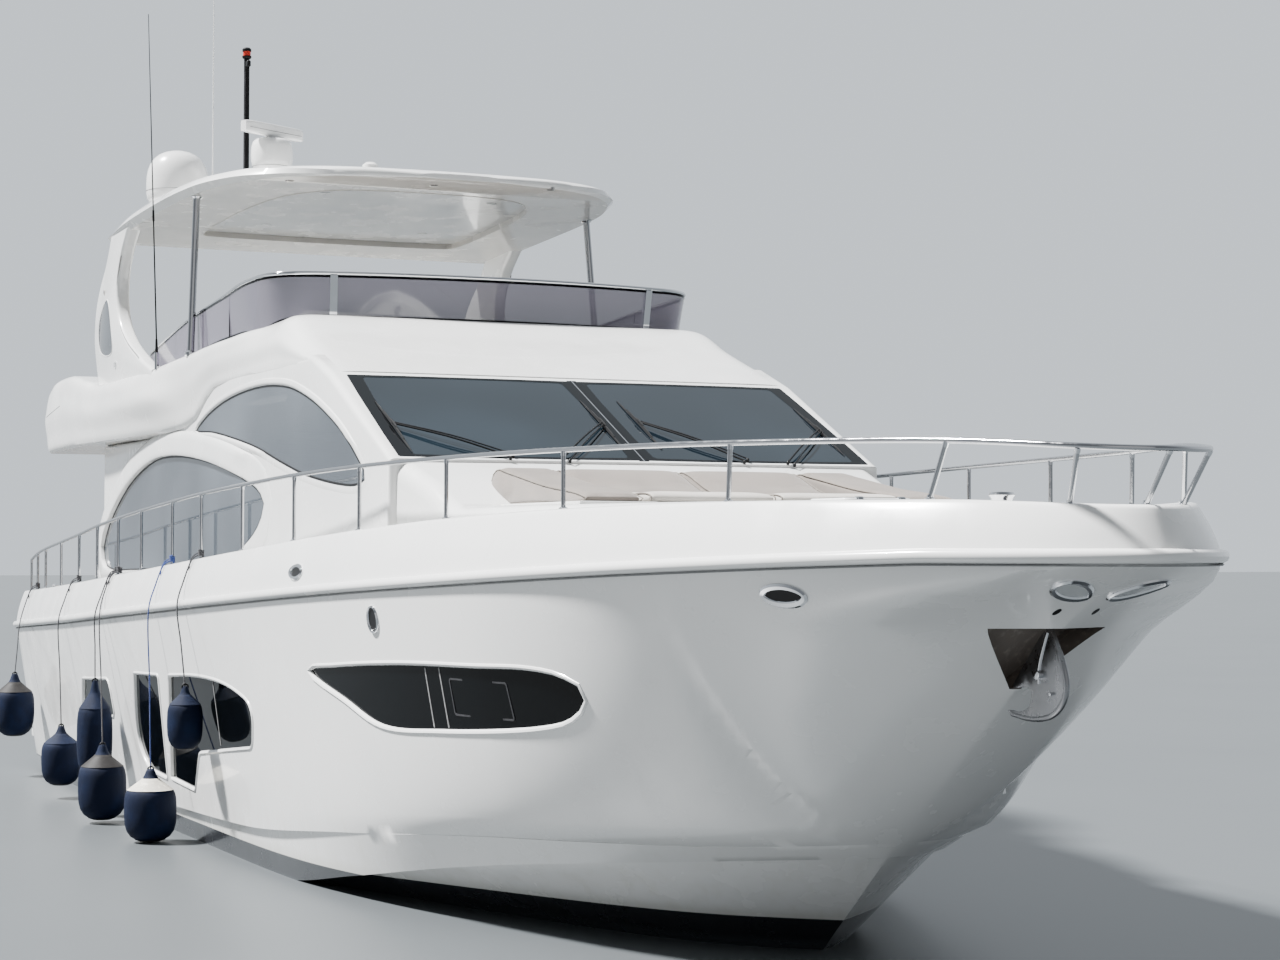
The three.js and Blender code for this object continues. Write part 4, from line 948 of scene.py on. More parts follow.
def make_hull():
    hull = Shape().add(hull_shell(), M.hull_paint).object("hull_shape", 30)
    well = rounded_box(COCKPIT_AFT_X, BULKHEAD_AFT_X, -COCKPIT_HALF, COCKPIT_HALF, 0.12)
    hollows = [
        shell(well, on_level(0), COCKPIT_SOLE_Z, 4),
        cuboid(BULKHEAD_FORE_X, 3.9, -SALOON_WELL_HALF, SALOON_WELL_HALF, SALOON_FLOOR_Z, 4.1),
        cuboid(BULKHEAD_AFT_X - 0.02, BULKHEAD_FORE_X + 0.02, -SALOON_WELL_HALF + 0.01,
               SALOON_WELL_HALF - 0.01,
               SALOON_FLOOR_Z, 4),
        cuboid(TRANSOM_X - 0.1, TRANSOM_X + 0.066, -GARAGE_HALF - 0.006, GARAGE_HALF + 0.006,
               GARAGE_LOW_Z - 0.006, GARAGE_HIGH_Z + 0.006),
    ]
    for _, sign in SIDES:
        for outline in window_outlines():
            hollows.append(shell(outline, on_skin(hull_half, sign), -WINDOW_DEPTH, 0.2, 0.3))
    for hollow in hollows:
        cut(hull, Shape().add(hollow, M.gelcoat), 30)
    # The pocket walls get the flat brown-grey painted reflection in place of steel.
    cut(hull, Shape().add(pocket_shell(), M.pocket_steel), 30)
    mesh = hull.data
    for material in (M.teak, M.deck_grip, M.carpet):
        mesh.materials.append(material)
    last = len(mesh.materials)
    for face in mesh.polygons:
        z = face.center.z
        if face.normal.z < 0.9:
            continue
        if abs(z - COCKPIT_SOLE_Z) < 0.005:
            face.material_index = last - 3
        elif abs(z - SALOON_FLOOR_Z) < 0.005:
            face.material_index = last - 1
        elif z > 2.1:
            face.material_index = last - 2
    show(hull, "hull")


LIP = ((0.004, -0.034), (0.004, -0.006), (-0.004, 0.006), (-0.02, 0.012), (-0.034, 0.006), (-0.04, -0.004),
       (-0.03, -0.034))


def make_hull_windows():
    for side, sign in SIDES:
        skin = on_skin(hull_half, sign)
        panes, lips = Shape(), Shape()
        for outline in window_outlines():
            panes.add(shell(inset(outline, 0.001), skin, -WINDOW_DEPTH + 0.001, -WINDOW_DEPTH + 0.013, 0.25),
                      M.hull_glass)
            lips.add(trim(outline, LIP, skin), M.gelcoat)
        for x, low, high in WINDOW_STRIPS:
            strip = rounded_box(x - 0.008, x + 0.008, low, high, 0.004)
            panes.add(shell(strip, skin, -WINDOW_DEPTH + 0.012, -WINDOW_DEPTH + 0.018), M.grey_trim)
        section = ((0, -WINDOW_DEPTH + 0.01), (0, -WINDOW_DEPTH + 0.017), (0.014, -WINDOW_DEPTH + 0.017),
                   (0.014, -WINDOW_DEPTH + 0.01))
        panes.add(trim(rounded_box(*OPENING_PORT, 0.03), section, skin), M.seal)
        fitted(panes.object(f"hull_window_glass_{side}"))
        fitted(lips.object(f"hull_window_lips_{side}"))


def bezel(shape, outline, place, width, rim, inner):
    """Oval rim on a skin with its lens or a black plate inside; a black plate in an opening is painted shade.
    """
    section = ((0, -0.02), (0, 0.008), (width * 0.3, 0.02), (width * 0.8, 0.014), (width, 0.0),
               (width, -0.02))
    shape.add(trim(outline, section, place), rim)
    shape.add(shell(inset(outline, width - 0.004), place, -0.015, 0.004), inner)


# Ovals: place, height, half-length and half-height; the bow light is laid out from the centreline
HAWSE_HOLE = (9.957, 2.783, 0.19, 0.082)
PORTHOLE = (4.872, 2.502, 0.10, 0.118)
MIDSHIP_HAWSE = (3.12, 2.88, 0.17, 0.075)
BOW_LIGHT = (0.25, 2.835, 0.15, 0.068)
BOW_LIGHT_LEAN = 1.5
BOW_DRAIN = (0.15, 2.69, 0.02, 0.02)


def make_bow_fittings():
    for side, sign in SIDES:
        skin, bow = on_skin(hull_half, sign), on_bow(sign)
        chrome = Shape()
        # Black plate inside the hawse rim: painted shade for the dark opening.
        bezel(chrome, ellipse(*HAWSE_HOLE), skin, 0.045, M.chrome, M.black)
        bezel(chrome, ellipse(*PORTHOLE), skin, 0.022, M.chrome, M.black)
        light = ellipse(*BOW_LIGHT)
        light[:, 0] += BOW_LIGHT_LEAN * (light[:, 1] - BOW_LIGHT[1])
        bezel(chrome, light, bow, 0.024, M.chrome, M.lens)
        # Black dot for the bow drain: painted shade for the hole.
        chrome.add(shell(ellipse(*BOW_DRAIN), bow, -0.01, 0.004), M.black)
        # Black plate inside the midship hawse rim: painted shade for the dark opening.
        bezel(chrome, ellipse(*MIDSHIP_HAWSE), on_skin(bulwark_half, sign), 0.04, M.chrome, M.black)
        fitted(chrome.object(f"bow_fittings_{side}"))


ANCHOR = ((10.69, 2.574), (10.31, 2.19), (10.3, 2.15), (10.478, 2.18), (10.53, 2.144), (10.517, 2.061),
          (10.461, 2.015),
          (10.34, 1.997), (10.23, 2.01), (10.27, 1.98), (10.461, 1.962), (10.614, 1.966), (10.74, 1.99),
          (10.845, 2.043),
          (10.918, 2.126), (10.934, 2.219), (10.902, 2.318), (10.842, 2.434), (10.755, 2.574))


ANCHOR_BLADE = ((10.28, 0, 1.985), (10.46, 0, 1.966), (10.61, 0, 1.97), (10.74, 0, 1.995), (10.84, 0, 2.05),
                (10.905, 0, 2.13), (10.92, 0, 2.22), (10.89, 0, 2.32), (10.83, 0, 2.43))
ANCHOR_SHANK = ((10.72, 0, 2.55), (10.66, 0, 2.42), (10.62, 0, 2.3), (10.62, 0, 2.2))
# Pins across the anchor: x, z, half-length, radius and number of sides
ANCHOR_PINS = ((10.64, 2.26, 0.05, 0.03, 24), (10.78, 2.14, 0.04, 0.012, 16))


def make_anchor():
    anchor = Shape().add(shell(soften(ANCHOR, 2), on_side(1, 0), -0.015, 0.015), M.anchor_steel)
    anchor.add(tube(spline(ANCHOR_BLADE, 30), 0.022, 12), M.anchor_steel)
    anchor.add(tube(spline(ANCHOR_SHANK, 16), 0.026), M.steel)
    for x, z, half, radius, sides in ANCHOR_PINS:
        anchor.add(lathe(((0, -half), (radius, -half), (radius, half), (0, half)), (x, 0, z), (0, 1, 0),
                         sides), M.chrome)
    show(bevelled(anchor.object("anchor_shape"), 0.004), "anchor")


# Bulwark, rub rail and rails

def round_the_bow(ring_at, count):
    """Skin through sections set out from the starboard quarter round the bow to the port quarter."""
    u = 1 - (1 - np.linspace(0, 1, count)) ** 1.9
    sections = np.stack([ring_at(x) for x in u])
    return loft(np.concatenate([sections * (1, -1, 1), sections[-2::-1]]))


def bulwark_section(u):
    at = np.array([u])
    rub = line("rub", RUB, stem_x(NOSE_Z), at)[0]
    cap = line("cap", CAP, CAP_NOSE_X, at)[0]
    inner = line("deck", CAP, CAP_NOSE_X - CAP_WIDTH, at)[0]
    foot = line("deck", deck_height, CAP_NOSE_X - CAP_WIDTH, at)[0]
    rows = []
    for t in np.linspace(0, 0.95, 9):
        rows.append(rub + (cap - rub) * t + (0, 0.02 * math.sin(math.pi * t) * min(1, rub[1] / 0.5), 0))
    rows[0] = rub + (0, 0, -0.01)
    rows += [cap + (0, 0, -0.004), cap + (inner - cap) * 0.08 + (0, 0, 0.006),
             cap + (inner - cap) * 0.3 + (0, 0, 0.012),
             cap + (inner - cap) * 0.7 + (0, 0, 0.012), cap + (inner - cap) * 0.92 + (0, 0, 0.006),
             inner + (0, 0, -0.006)]
    rows += [inner + (foot - inner) * t for t in (0.3, 0.9, 1.1)]
    return np.array(rows)


def make_bulwark():
    shape = Shape().add(round_the_bow(bulwark_section, 150), M.gelcoat)
    shape.add(pillow(TRANSOM_X, -10.63, -2.66, 2.66, 1.9, 2.485, 0.03, 0.0), M.gelcoat)
    show(shape.object("bulwark_shape", 40), "bulwark")


def rub_section(u):
    at = np.array([max(u - 0.0006, 0), u, min(u + 0.0006, 1)])
    before, here, after = line("rub", RUB, stem_x(NOSE_Z), at)
    run = (after - before)[:2]
    out = np.array((1.0, 0, 0)) if u >= 1 else np.array((-run[1], run[0], 0)) / np.hypot(*run)
    rows = [(-0.02, -0.05), (0.004, -0.05), (0.014, -0.04), (0.036, -0.028), (RUB_DEPTH, -0.01),
            (RUB_DEPTH, 0.012),
            (0.037, 0.03), (0.02, 0.042), (-0.02, 0.05)]
    return np.array([here + out * (d if u < 1 else max(d, 0)) + (0, 0, h) for d, h in rows])


# Grey strip just under the rub rail moulding: painted shadow line.
def rub_painted_shadow_section(u):
    return rub_section(u)[[0, 1, 2]] + (0, 0, -0.012)


def make_rub_rail():
    # The grey strip under the moulding is painted shadow.
    rail = Shape().add(round_the_bow(rub_section, 150), M.gelcoat).add(round_the_bow(rub_painted_shadow_section, 150),
                                                                       M.grey_trim)
    show(rail.object("rub_rail_shape", 50), "rub_rail")


STANCHIONS = (10.85, 9.32, 7.54, 5.82, 4.15, 2.56, 1.0, -0.47, -1.67, -3.11, -4.28, -5.47, -6.63, -7.94,
              -9.25, -10,
              -10.65)
LEAN_FROM_X = 9.0
LEAN = 0.055
RAIL_TOP = ((-10.65, 2.93), (-9.85, 3.036), (-8.1, 3.16), (-6.65, 3.262), (-5.46, 3.36), (-4.27, 3.44),
            (-3.03, 3.518), (-1.66, 3.592), (-0.5, 3.65), (1, 3.708), (2.65, 3.765), (4.15, 3.8),
            (5.82, 3.82),
            (7.55, 3.828), (9.3, 3.82), (10.9, 3.79), (12, 3.715))
NOSE_RAIL = ((11.985, 0.24), (11.78, 0.5))
NOSE_TIP = (12.06, 0, 3.715)
FOOT = ((0.0, -0.012), (0.034, -0.012), (0.036, 0.004), (0.03, 0.01), (0.02, 0.014), (0.018, 0.03),
        (0.0, 0.03))


def cap_line(x):
    return half_breadth(FORMS["cap"], x, CAP_NOSE_X) - CAP_WIDTH / 2


def make_bow_rail():
    rail = Shape()
    posts = []
    for x in STANCHIONS:
        head_x = x + LEAN * max(x - LEAN_FROM_X, 0)
        foot = (x, float(cap_line(x)), float(along(CAP, x)) + 0.012)
        posts.append((foot, (head_x, float(cap_line(head_x)), float(along(RAIL_TOP, head_x)) - 0.01)))
    x, y = NOSE_RAIL[1]
    posts.append(((11.59, 0.43, 3.372), (x, y, float(along(RAIL_TOP, x)) - 0.01)))
    half = list(NOSE_RAIL) + [head[:2] for _, head in posts[:-1]]
    path = [(x, -y, float(along(RAIL_TOP, x))) for x, y in reversed(half)] + [NOSE_TIP]
    path += [(x, y, float(along(RAIL_TOP, x))) for x, y in half]
    rail.add(tube(spline(path, 360), RAIL_R, 14), M.steel)
    for part in [stanchion(*post) for post in posts]:
        for piece, material in part:
            rail.both(piece, material)
    for piece, material in stanchion((11.79, 0, 3.37), (NOSE_TIP[0] - 0.01, 0, NOSE_TIP[2])):
        rail.add(piece, material)
    show(rail.object("bow_rail_shape"), "bow_rail")


def stanchion(foot, head):
    """Upright on its foot flange, with the short sleeve under the rail."""
    foot, head = np.array(foot), np.array(head)
    rise = (head - foot) / np.linalg.norm(head - foot)
    return [(tube([foot - rise * 0.03, head], STANCHION_R, 12), M.steel),
            (lathe(FOOT, foot, sides=20), M.chrome),
            (tube([head - rise * 0.035, head], STANCHION_R + 0.003, 12), M.chrome)]


def cleat(x, y, z, turn=0.0):
    horn = [(-0.15, 0, 0.05), (-0.09, 0, 0.062), (0, 0, 0.066), (0.09, 0, 0.062), (0.15, 0, 0.05)]
    parts = [tube(spline(horn, 14), np.r_[0.006, np.full(12, 0.014), 0.006], 10)]
    for s in (-0.05, 0.05):
        parts.append(lathe(((0, 0), (0.032, 0), (0.03, 0.008), (0.014, 0.02), (0.013, 0.06), (0, 0.06)),
                           (s, 0, 0), sides=18))
    c, s = math.cos(turn), math.sin(turn)
    rotation = np.array(((c, s, 0), (-s, c, 0), (0, 0, 1)))
    return [(points @ rotation + (x, y, z), faces) for points, faces in parts]


DECK_CLEATS = ((9.7, 1.15), (3.9, 2.52), (-3.0, 2.62))
QUARTER_CLEAT = (-10.0, 2.45)
WINDLASS_X = 10.15
WINDLASS = ((0, 0), (0.13, 0), (0.13, 0.03), (0.075, 0.05), (0.06, 0.1), (0.075, 0.15), (0.09, 0.17),
            (0.08, 0.19), (0, 0.195))


def make_deck_fittings():
    steel = Shape()
    for x, y in DECK_CLEATS:
        for _, sign in SIDES:
            z = float(deck_height(x)) + 0.01
            for part in cleat(x, sign * y, z, sign * 0.2 if x > 5 else 0):
                steel.add(part, M.chrome)
    for _, sign in SIDES:
        x, y = QUARTER_CLEAT
        for part in cleat(x, sign * y, float(along(CAP, x)) + 0.012):
            steel.add(part, M.chrome)
    windlass = (WINDLASS_X, 0, float(deck_height(WINDLASS_X)) + 0.02)
    steel.add(lathe(WINDLASS, windlass, sides=36), M.chrome)
    steel.add(shell(rounded_box(10.3, 10.75, -0.07, 0.07, 0.03), on_level(windlass[2]), -0.03, 0.035),
              M.steel)
    steel.add(tube([(10.2, 0.05, windlass[2] + 0.06), (10.7, 0.03, windlass[2] + 0.06)], 0.016, 8),
              M.dull_steel)
    fitted(steel.object("deck_fittings"))


# Deckhouse

def slab(outline, place, low, high, radius, steps=4):
    """Plate of an outline between two depths, its rims rounded."""
    rings = []
    for a in np.linspace(0, math.pi / 2, steps):
        rings.append((low + radius * (1 - math.cos(a)), radius * (1 - math.sin(a))))
    for a in np.linspace(math.pi / 2, 0, steps):
        rings.append((high - radius * (1 - math.cos(a)), radius * (1 - math.sin(a))))
    skins = []
    for depth, distance in rings:
        moved = inset(outline, distance)
        skins.append(place(moved[:, 0], moved[:, 1], depth))
    return loft(skins)


FLOOR_BOTTOM = SALOON_FLOOR_Z - 0.05
HOUSE_PROFILE = ((BULKHEAD_AFT_X, FLOOR_BOTTOM), (HOUSE_FRONT_X, FLOOR_BOTTOM), SHIELD_BASE, SHIELD_TOP,
                 (1.97, SEAM_FORE_Z), (-2.3, SEAM_FORE_Z), (-3.6, SEAM_AFT_Z), (BULKHEAD_AFT_X, SEAM_AFT_Z))
SALOON_PROFILE = ((BULKHEAD_FORE_X, 1.0), (4.18, 1.0), (4.18, 3.815), (2.44, 4.66), (0.5, 4.62),
                  (0, SALOON_CEILING_Z), (BULKHEAD_FORE_X, SALOON_CEILING_Z))
ARCH_AFT = ((-7, 3.12), (-6.85, 3.29), (-6.44, 3.53), (-5.74, 3.82), (-4.96, 4.02), (-4.21, 4.13),
            (-3.39, 4.15), (-2.43, 4.1), (-1.34, 3.98), (-0.33, 3.81), (0.23, 3.67), (0.42, 3.54),
            (0.31, 3.39),
            (0.01, 3.22), (-0.7, 3.02), (-2.4, 2.9), (-5.5, 2.82), (-6.5, 2.82), (-6.9, 2.9))
ARCH_FORE = ((-2.34, 4.39), (-1.98, 4.51), (-1.36, 4.63), (-0.68, 4.7), (0.05, 4.73), (0.66, 4.72),
             (1.32, 4.66), (2.03, 4.5), (2.55, 4.33), (2.99, 4.15), (3.47, 3.88), (3.67, 3.73), (3.59, 3.68),
             (3.35, 3.65), (2.87, 3.67), (1.85, 3.78), (1.05, 3.92), (0.14, 4.1), (-0.83, 4.24),
             (-1.61, 4.33))
ARCHES = {"aft": ARCH_AFT, "fore": ARCH_FORE}
GLASS = 0.012
REBATE = 0.04
FLY_WELL = ((-9.2, -2), (-8.9, -2.3), (-6, -2.33), (-3.5, -2.23), (-0.6, -2.21), (0.05, -1.9),
            (0.25, -1), (0.25, 1), (0.05, 1.9), (-0.6, 2.21), (-3.5, 2.23), (-6, 2.33), (-8.9, 2.3),
            (-9.2, 2))
PANE = ((0.03, 0.03), (2.33, 0.03), (2.27, SHIELD_LENGTH - 0.03), (0.03, SHIELD_LENGTH - 0.03))
CLEAR_PANE = ((0.11, 0.075), (2.2, 0.075), (2.14, SHIELD_LENGTH - 0.075), (0.11, SHIELD_LENGTH - 0.075))


def arch(name):
    return spline(ARCHES[name], 90, closed=True)


def pane(sign, corners=PANE, reach=0.03):
    """Outline of one windshield pane, turning the same way on either side."""
    corners = np.array(corners) * (sign, 1)
    return soften(soften_corners(corners if sign > 0 else corners[::-1], reach), 1)


def soften_corners(outline, reach):
    """Two points a short way either side of each corner."""
    p = np.asarray(outline, float)
    points = []
    for k, corner in enumerate(p):
        for other in (p[k - 1], p[(k + 1) % len(p)]):
            points.append(corner + (other - corner) / np.linalg.norm(other - corner) * reach)
    return np.array(points)


def make_house():
    house = Shape().add(slab(HOUSE_PROFILE, on_side(1, 0), -HOUSE_HALF, HOUSE_HALF, 0.07, 6), M.gelcoat)
    house = house.object("deckhouse_shape", 30)
    hollows = [
        (shell(SALOON_PROFILE, on_side(1, 0), -HOUSE_INNER, HOUSE_INNER), M.light_panel),
        (shell(soften(FLY_WELL, 2), on_level(0), FLY_FLOOR_Z, 6.5), M.deck_grip),
        (cuboid(BULKHEAD_AFT_X - 0.02, BULKHEAD_FORE_X + 0.02, -DOOR_HALF, DOOR_HALF, 1, DOOR_TOP_Z),
         M.gelcoat),
    ]
    for _, sign in SIDES:
        for name in ARCHES:
            outline = arch(name)
            hollows.append((shell(inset(outline, REBATE), on_side(sign), -0.4, -0.005), M.gelcoat))
            hollows.append((shell(outline, on_side(sign), -GLASS - 0.002, 0.1), M.gelcoat))
        outline = pane(sign)
        hollows.append((shell(inset(outline, REBATE), on_shield, -0.4, -0.005), M.gelcoat))
        hollows.append((shell(outline, on_shield, -GLASS - 0.002, 0.05), M.gelcoat))
    for hollow, material in hollows:
        cut(house, Shape().add(hollow, material), 30)
    show(house, "deckhouse")


REVEAL = ((0.003, -0.02), (0.003, 0.03), (-0.004, 0.046), (-0.02, 0.052), (-0.06, 0.05))
ARCH_BANDS = {
    "aft": REVEAL + ((-0.19, 0.046), (-0.24, 0.036), (-0.275, 0.016), (-0.29, -0.02)),
    "fore": ((0.003, -0.02), (0.003, 0.006), (-0.01, 0.018), (-0.03, 0.02), (-0.06, 0.012), (-0.08, -0.02)),
}
BAND_FADE = 0.85
BAND_FADE_X = (-1.2, 0.25)
BAND_FADE_Z = 4.05
WING = ((-7.06, 3.34), (-7.3, 3.05), (-7.36, 2.7), (-7.38, 2.42), (-6.9, 2.42), (-6.86, 2.7), (-7.0, 2.98))


def band_place(sign):
    """Side of the house, with the mouldings on it running out flat toward the front of the lower window."""
    def place(u, v, depth):
        flat = BAND_FADE * ease((u - BAND_FADE_X[0]) / (BAND_FADE_X[1] - BAND_FADE_X[0])) * (v < BAND_FADE_Z)
        return on_side(sign)(u, v, depth * (1 - flat))
    return place


def make_arch_bands():
    for side, sign in SIDES:
        bands = Shape()
        for name, section in ARCH_BANDS.items():
            bands.add(trim(arch(name), section, band_place(sign)), M.gelcoat)
        bands.add(slab(spline(WING, 60, closed=True), on_side(sign), -0.06, 0.04, 0.02), M.gelcoat)
        for name in ARCHES:
            bands.add(trim(arch(name), ((0.0, -0.002), (0.0, 0.004), (0.02, 0.004), (0.024, -0.002)),
                           on_side(sign)),
                      M.black)
        fitted(bands.object(f"arch_bands_{side}", 40))


def make_side_windows():
    for side, sign in SIDES:
        for name in ARCHES:
            outline = inset(arch(name), 0.0005)
            glass_shape = Shape().add(shell(outline, on_side(sign), -GLASS, -0.0005), M.side_glass)
            show(glass_shape.object(f"side_window_{name}_{side}_shape"), f"side_window_{name}_{side}")


def wavy_sheet(start, end, low, high, folds, depth, thick=0.004):
    """Hanging curtain between two plan points, its folds running up and down."""
    start, end = np.array(start, float), np.array(end, float)
    along_it = (end - start) / np.linalg.norm(end - start)
    aside = np.array((-along_it[1], along_it[0]))
    rings = []
    count = folds * 12
    for k in range(count + 1):
        t = k / count
        ring = []
        for lift, off in ((0, 0), (0.35, 0), (0.7, 0), (1, 0), (1, 1), (0.7, 1), (0.35, 1), (0, 1)):
            fold = depth * (0.55 + 0.45 * (1 - lift)) * math.sin(2 * math.pi * folds * t + 0.6 * lift)
            xy = start + (end - start) * t + aside * (fold + off * thick)
            ring.append((xy[0], xy[1], low + (high - low) * lift))
        rings.append(ring)
    return loft(rings)


CURTAINS = ((-6.75, -5.9), (-5.05, -4.3), (-0.55, 0.1))
CURTAIN_RAIL_Z = 4.22
CURTAIN_TOP_Z = 4.206
CURTAIN_FOOT_Z = 2.4
CURTAIN_FOLDS = 9
CURTAIN_Y = 2.2


def make_curtains():
    for side, sign in SIDES:
        ends = [(x, sign * CURTAIN_Y, CURTAIN_RAIL_Z) for x in (-6.8, 0.2)]
        rail = Shape().add(tube(ends, 0.012, 10), M.steel)
        rail = fitted(rail.object(f"curtain_rail_{side}"))
        for k, (x0, x1) in enumerate(CURTAINS):
            ends = (x0, sign * CURTAIN_Y), (x1, sign * CURTAIN_Y)
            points, faces = wavy_sheet(*ends, CURTAIN_FOOT_Z, CURTAIN_TOP_Z, CURTAIN_FOLDS, 0.022)
            curtain = fitted(Shape().add((points, faces), M.curtain).object(f"curtain_{side}_{k + 1}", 60))
            middle = points.reshape(-1, 8, 3)[:, 1]
            width = float(np.sum(np.linalg.norm(np.diff(middle, axis=0), axis=1)))


def make_saloon():
    sills = Shape()
    for _, sign in SIDES:
        sills.add(slab(rounded_box(-6.9, 0.3, 3.02, 3.05, 0.01), on_side(sign, 2.24), -0.03, 0.03, 0.005),
                  M.walnut)
        for x in (-4.55, -1.9):
            sills.add(slab(rounded_box(x - 0.03, x + 0.03, 2.0, 4.27, 0.01), on_side(sign, 2.24), 0.0, 0.05,
                           0.004), M.walnut)
    fitted(sills.object("saloon_sills"))


# Windshield and wipers

def make_windshield():
    for side, sign in SIDES:
        outline = inset(pane(sign), 0.0005)
        screen = Shape().add(shell(outline, on_shield, -GLASS, -0.0005), M.shield_glass)
        outer, inner = pane(sign), pane(sign, CLEAR_PANE, 0.06)
        rings = [on_shield(*edge.T, depth) for edge,
                 depth in ((outer, -0.011), (outer, 0.0015), (inner, 0.0015), (inner, -0.011))]
        border = Shape().add(loft(rings, around=True), M.hull_glass)
        show(screen.object(f"windshield_{side}_shape"), f"windshield_{side}")
        fitted(border.object(f"windshield_border_{side}"))
    trimmed = Shape()
    trimmed.add(shell(rounded_box(-0.05, 0.05, 0.02, SHIELD_LENGTH - 0.02, 0.01), on_shield, -0.02, 0.001),
                M.hull_glass)
    trimmed.add(shell(rounded_box(-0.006, 0.006, 0.02, SHIELD_LENGTH - 0.02, 0.005), on_shield, -0.01,
                      0.004), M.steel)
    fitted(trimmed.object("windshield_centre"))


WIPERS = (("outer_starboard", -1.3, 52, 1.11), ("inner_starboard", -0.8, -40, 1.09),
          ("inner_port", 1.0, 40, 1.11), ("outer_port", 1.45, -42, 1.06))
WIPER_FOOT = 0.008
WIPER_LIFT = 0.02
BLADE_HALF = 0.57


def make_wipers():
    for name, pivot_y, lean, arm in WIPERS:
        a = math.radians(lean)
        ahead = np.array((-math.sin(a), math.cos(a)))
        aside = np.array((ahead[1], -ahead[0]))
        foot = np.array((pivot_y, WIPER_FOOT))
        tip = foot + arm * ahead

        def at(place, lift):
            return on_shield(np.array([place[0]]), np.array([place[1]]), lift)[0]

        wiper = Shape()
        for shift, thick in ((0.0, 0.009), (0.065, 0.0065)):
            start, end = foot + aside * shift, tip + aside * shift * 0.45
            middle = (start + end) / 2
            points = [at(start, WIPER_LIFT + 0.012), at(middle, WIPER_LIFT + 0.035),
                      at(end, WIPER_LIFT + 0.014)]
            wiper.add(tube(spline(points, 16), thick, 8), M.black)
            wiper.add(lathe(((0, 0.0), (0.014, 0.0), (0.014, 0.03), (0.008, 0.036), (0, 0.036)),
                            at(start, 0.001),
                            (OUT_SHIELD[0], 0, OUT_SHIELD[1]), 18), M.black)
        wiper.add(tube([at(tip + aside * 0.03, 0.034), at(tip - aside * 0.01, 0.034)], 0.009, 10), M.black)
        for low, high, lift, thick in ((-1, 1, 0.012, 0.01), (-0.55, 0.55, 0.026, 0.009),
                                       (-0.16, 0.16, 0.036, 0.011)):
            points = [at(tip + np.array((0, 1)) * BLADE_HALF * t,
                         lift - 0.006 * abs(t)) for t in np.linspace(low, high, 9)]
            wiper.add(tube(points, np.r_[thick * 0.4, np.full(7, thick), thick * 0.4], 8), M.black)
        for t in (-0.55, -0.16, 0.16, 0.55):
            place = tip + np.array((0, 1)) * BLADE_HALF * t
            wiper.add(tube([at(place, 0.006), at(place, 0.026)], 0.006, 8), M.black)
        show(wiper.object(f"wiper_{name}_shape"), f"wiper_{name}")


# Doors

def make_doors():
    fixed = slab(rounded_box(0.0, DOOR_HALF - 0.002, SALOON_FLOOR_Z + 0.001, DOOR_TOP_Z - 0.002, 0.01),
                 on_bulkhead(BULKHEAD_AFT_X + 0.01, 1), 0.0, 0.03, 0.003)
    sliding = slab(rounded_box(0.006 - DOOR_HALF, 0.04, SALOON_FLOOR_Z + 0.001, DOOR_TOP_Z - 0.006, 0.01),
                   on_bulkhead(BULKHEAD_FORE_X - 0.04, 1), 0.0, 0.03, 0.003)
    panels = (("saloon_door_fixed", fixed, 0.0, DOOR_HALF - 0.002, BULKHEAD_AFT_X + 0.01),
              ("saloon_door", sliding, 0.006 - DOOR_HALF, 0.04, BULKHEAD_FORE_X - 0.04))
    for node, part, y0, y1, x in panels:
        door = Shape().add(part, M.door_glass)
        frame_outline = rounded_box(y0, y1, SALOON_FLOOR_Z + 0.001, DOOR_TOP_Z - 0.006, 0.012)
        section = ((0.0, -0.001), (0.0, 0.031), (0.055, 0.031), (0.06, 0.026), (0.06, 0.004), (0.055, -0.001))
        door.add(trim(frame_outline, section, on_bulkhead(x, 1)), M.steel)
        if node == "saloon_door":
            grip = [(x - 0.001, -0.06, 2.75), (x - 0.006, -0.06, 2.8), (x - 0.006, -0.06, 3.15),
                    (x - 0.001, -0.06, 3.2)]
            door.add(tube(spline(grip, 16), 0.003, 8), M.chrome)
        show(door.object(f"{node}_shape"), node)


GARAGE_PLATE = 0.034
HINGE_R = 0.014
HINGE_X = TRANSOM_X + 0.024
HINGE_Z = GARAGE_HIGH_Z - 0.03


def make_garage_door():
    outline = rounded_box(-GARAGE_HALF, GARAGE_HALF, GARAGE_LOW_Z, GARAGE_HIGH_Z - 0.012, 0.05)
    door = Shape().add(slab(outline, on_bulkhead(TRANSOM_X + 0.004, 1), 0.0, GARAGE_PLATE, 0.008), M.gelcoat)
    section = ((0.09, 0.0005), (0.1, -0.003), (0.112, -0.003), (0.122, 0.0005), (0.115, 0.004), (0.1, 0.004))
    door.add(trim(outline, section, on_bulkhead(TRANSOM_X + 0.004, 1)), M.gelcoat)
    pin = ((0, -GARAGE_HALF - 0.03), (HINGE_R, -GARAGE_HALF - 0.03), (HINGE_R, GARAGE_HALF + 0.03),
           (0, GARAGE_HALF + 0.03))
    door.add(lathe(pin, (HINGE_X, 0, HINGE_Z), (0, 1, 0), 24), M.steel)
    for y in (-0.62, 0.62):
        latch = ellipse(y, 0.72, 0.05, 0.05, 28)
        door.add(trim(latch, ((0, -0.002), (0, 0.003), (0.008, 0.006), (0.014, 0.002), (0.014, -0.002)),
                      on_bulkhead(TRANSOM_X + 0.004)), M.chrome)
        door.add(shell(inset(latch, 0.012), on_bulkhead(TRANSOM_X + 0.004), -0.001, 0.002), M.dull_steel)
    show(door.object("garage_door_shape"), "garage_door")


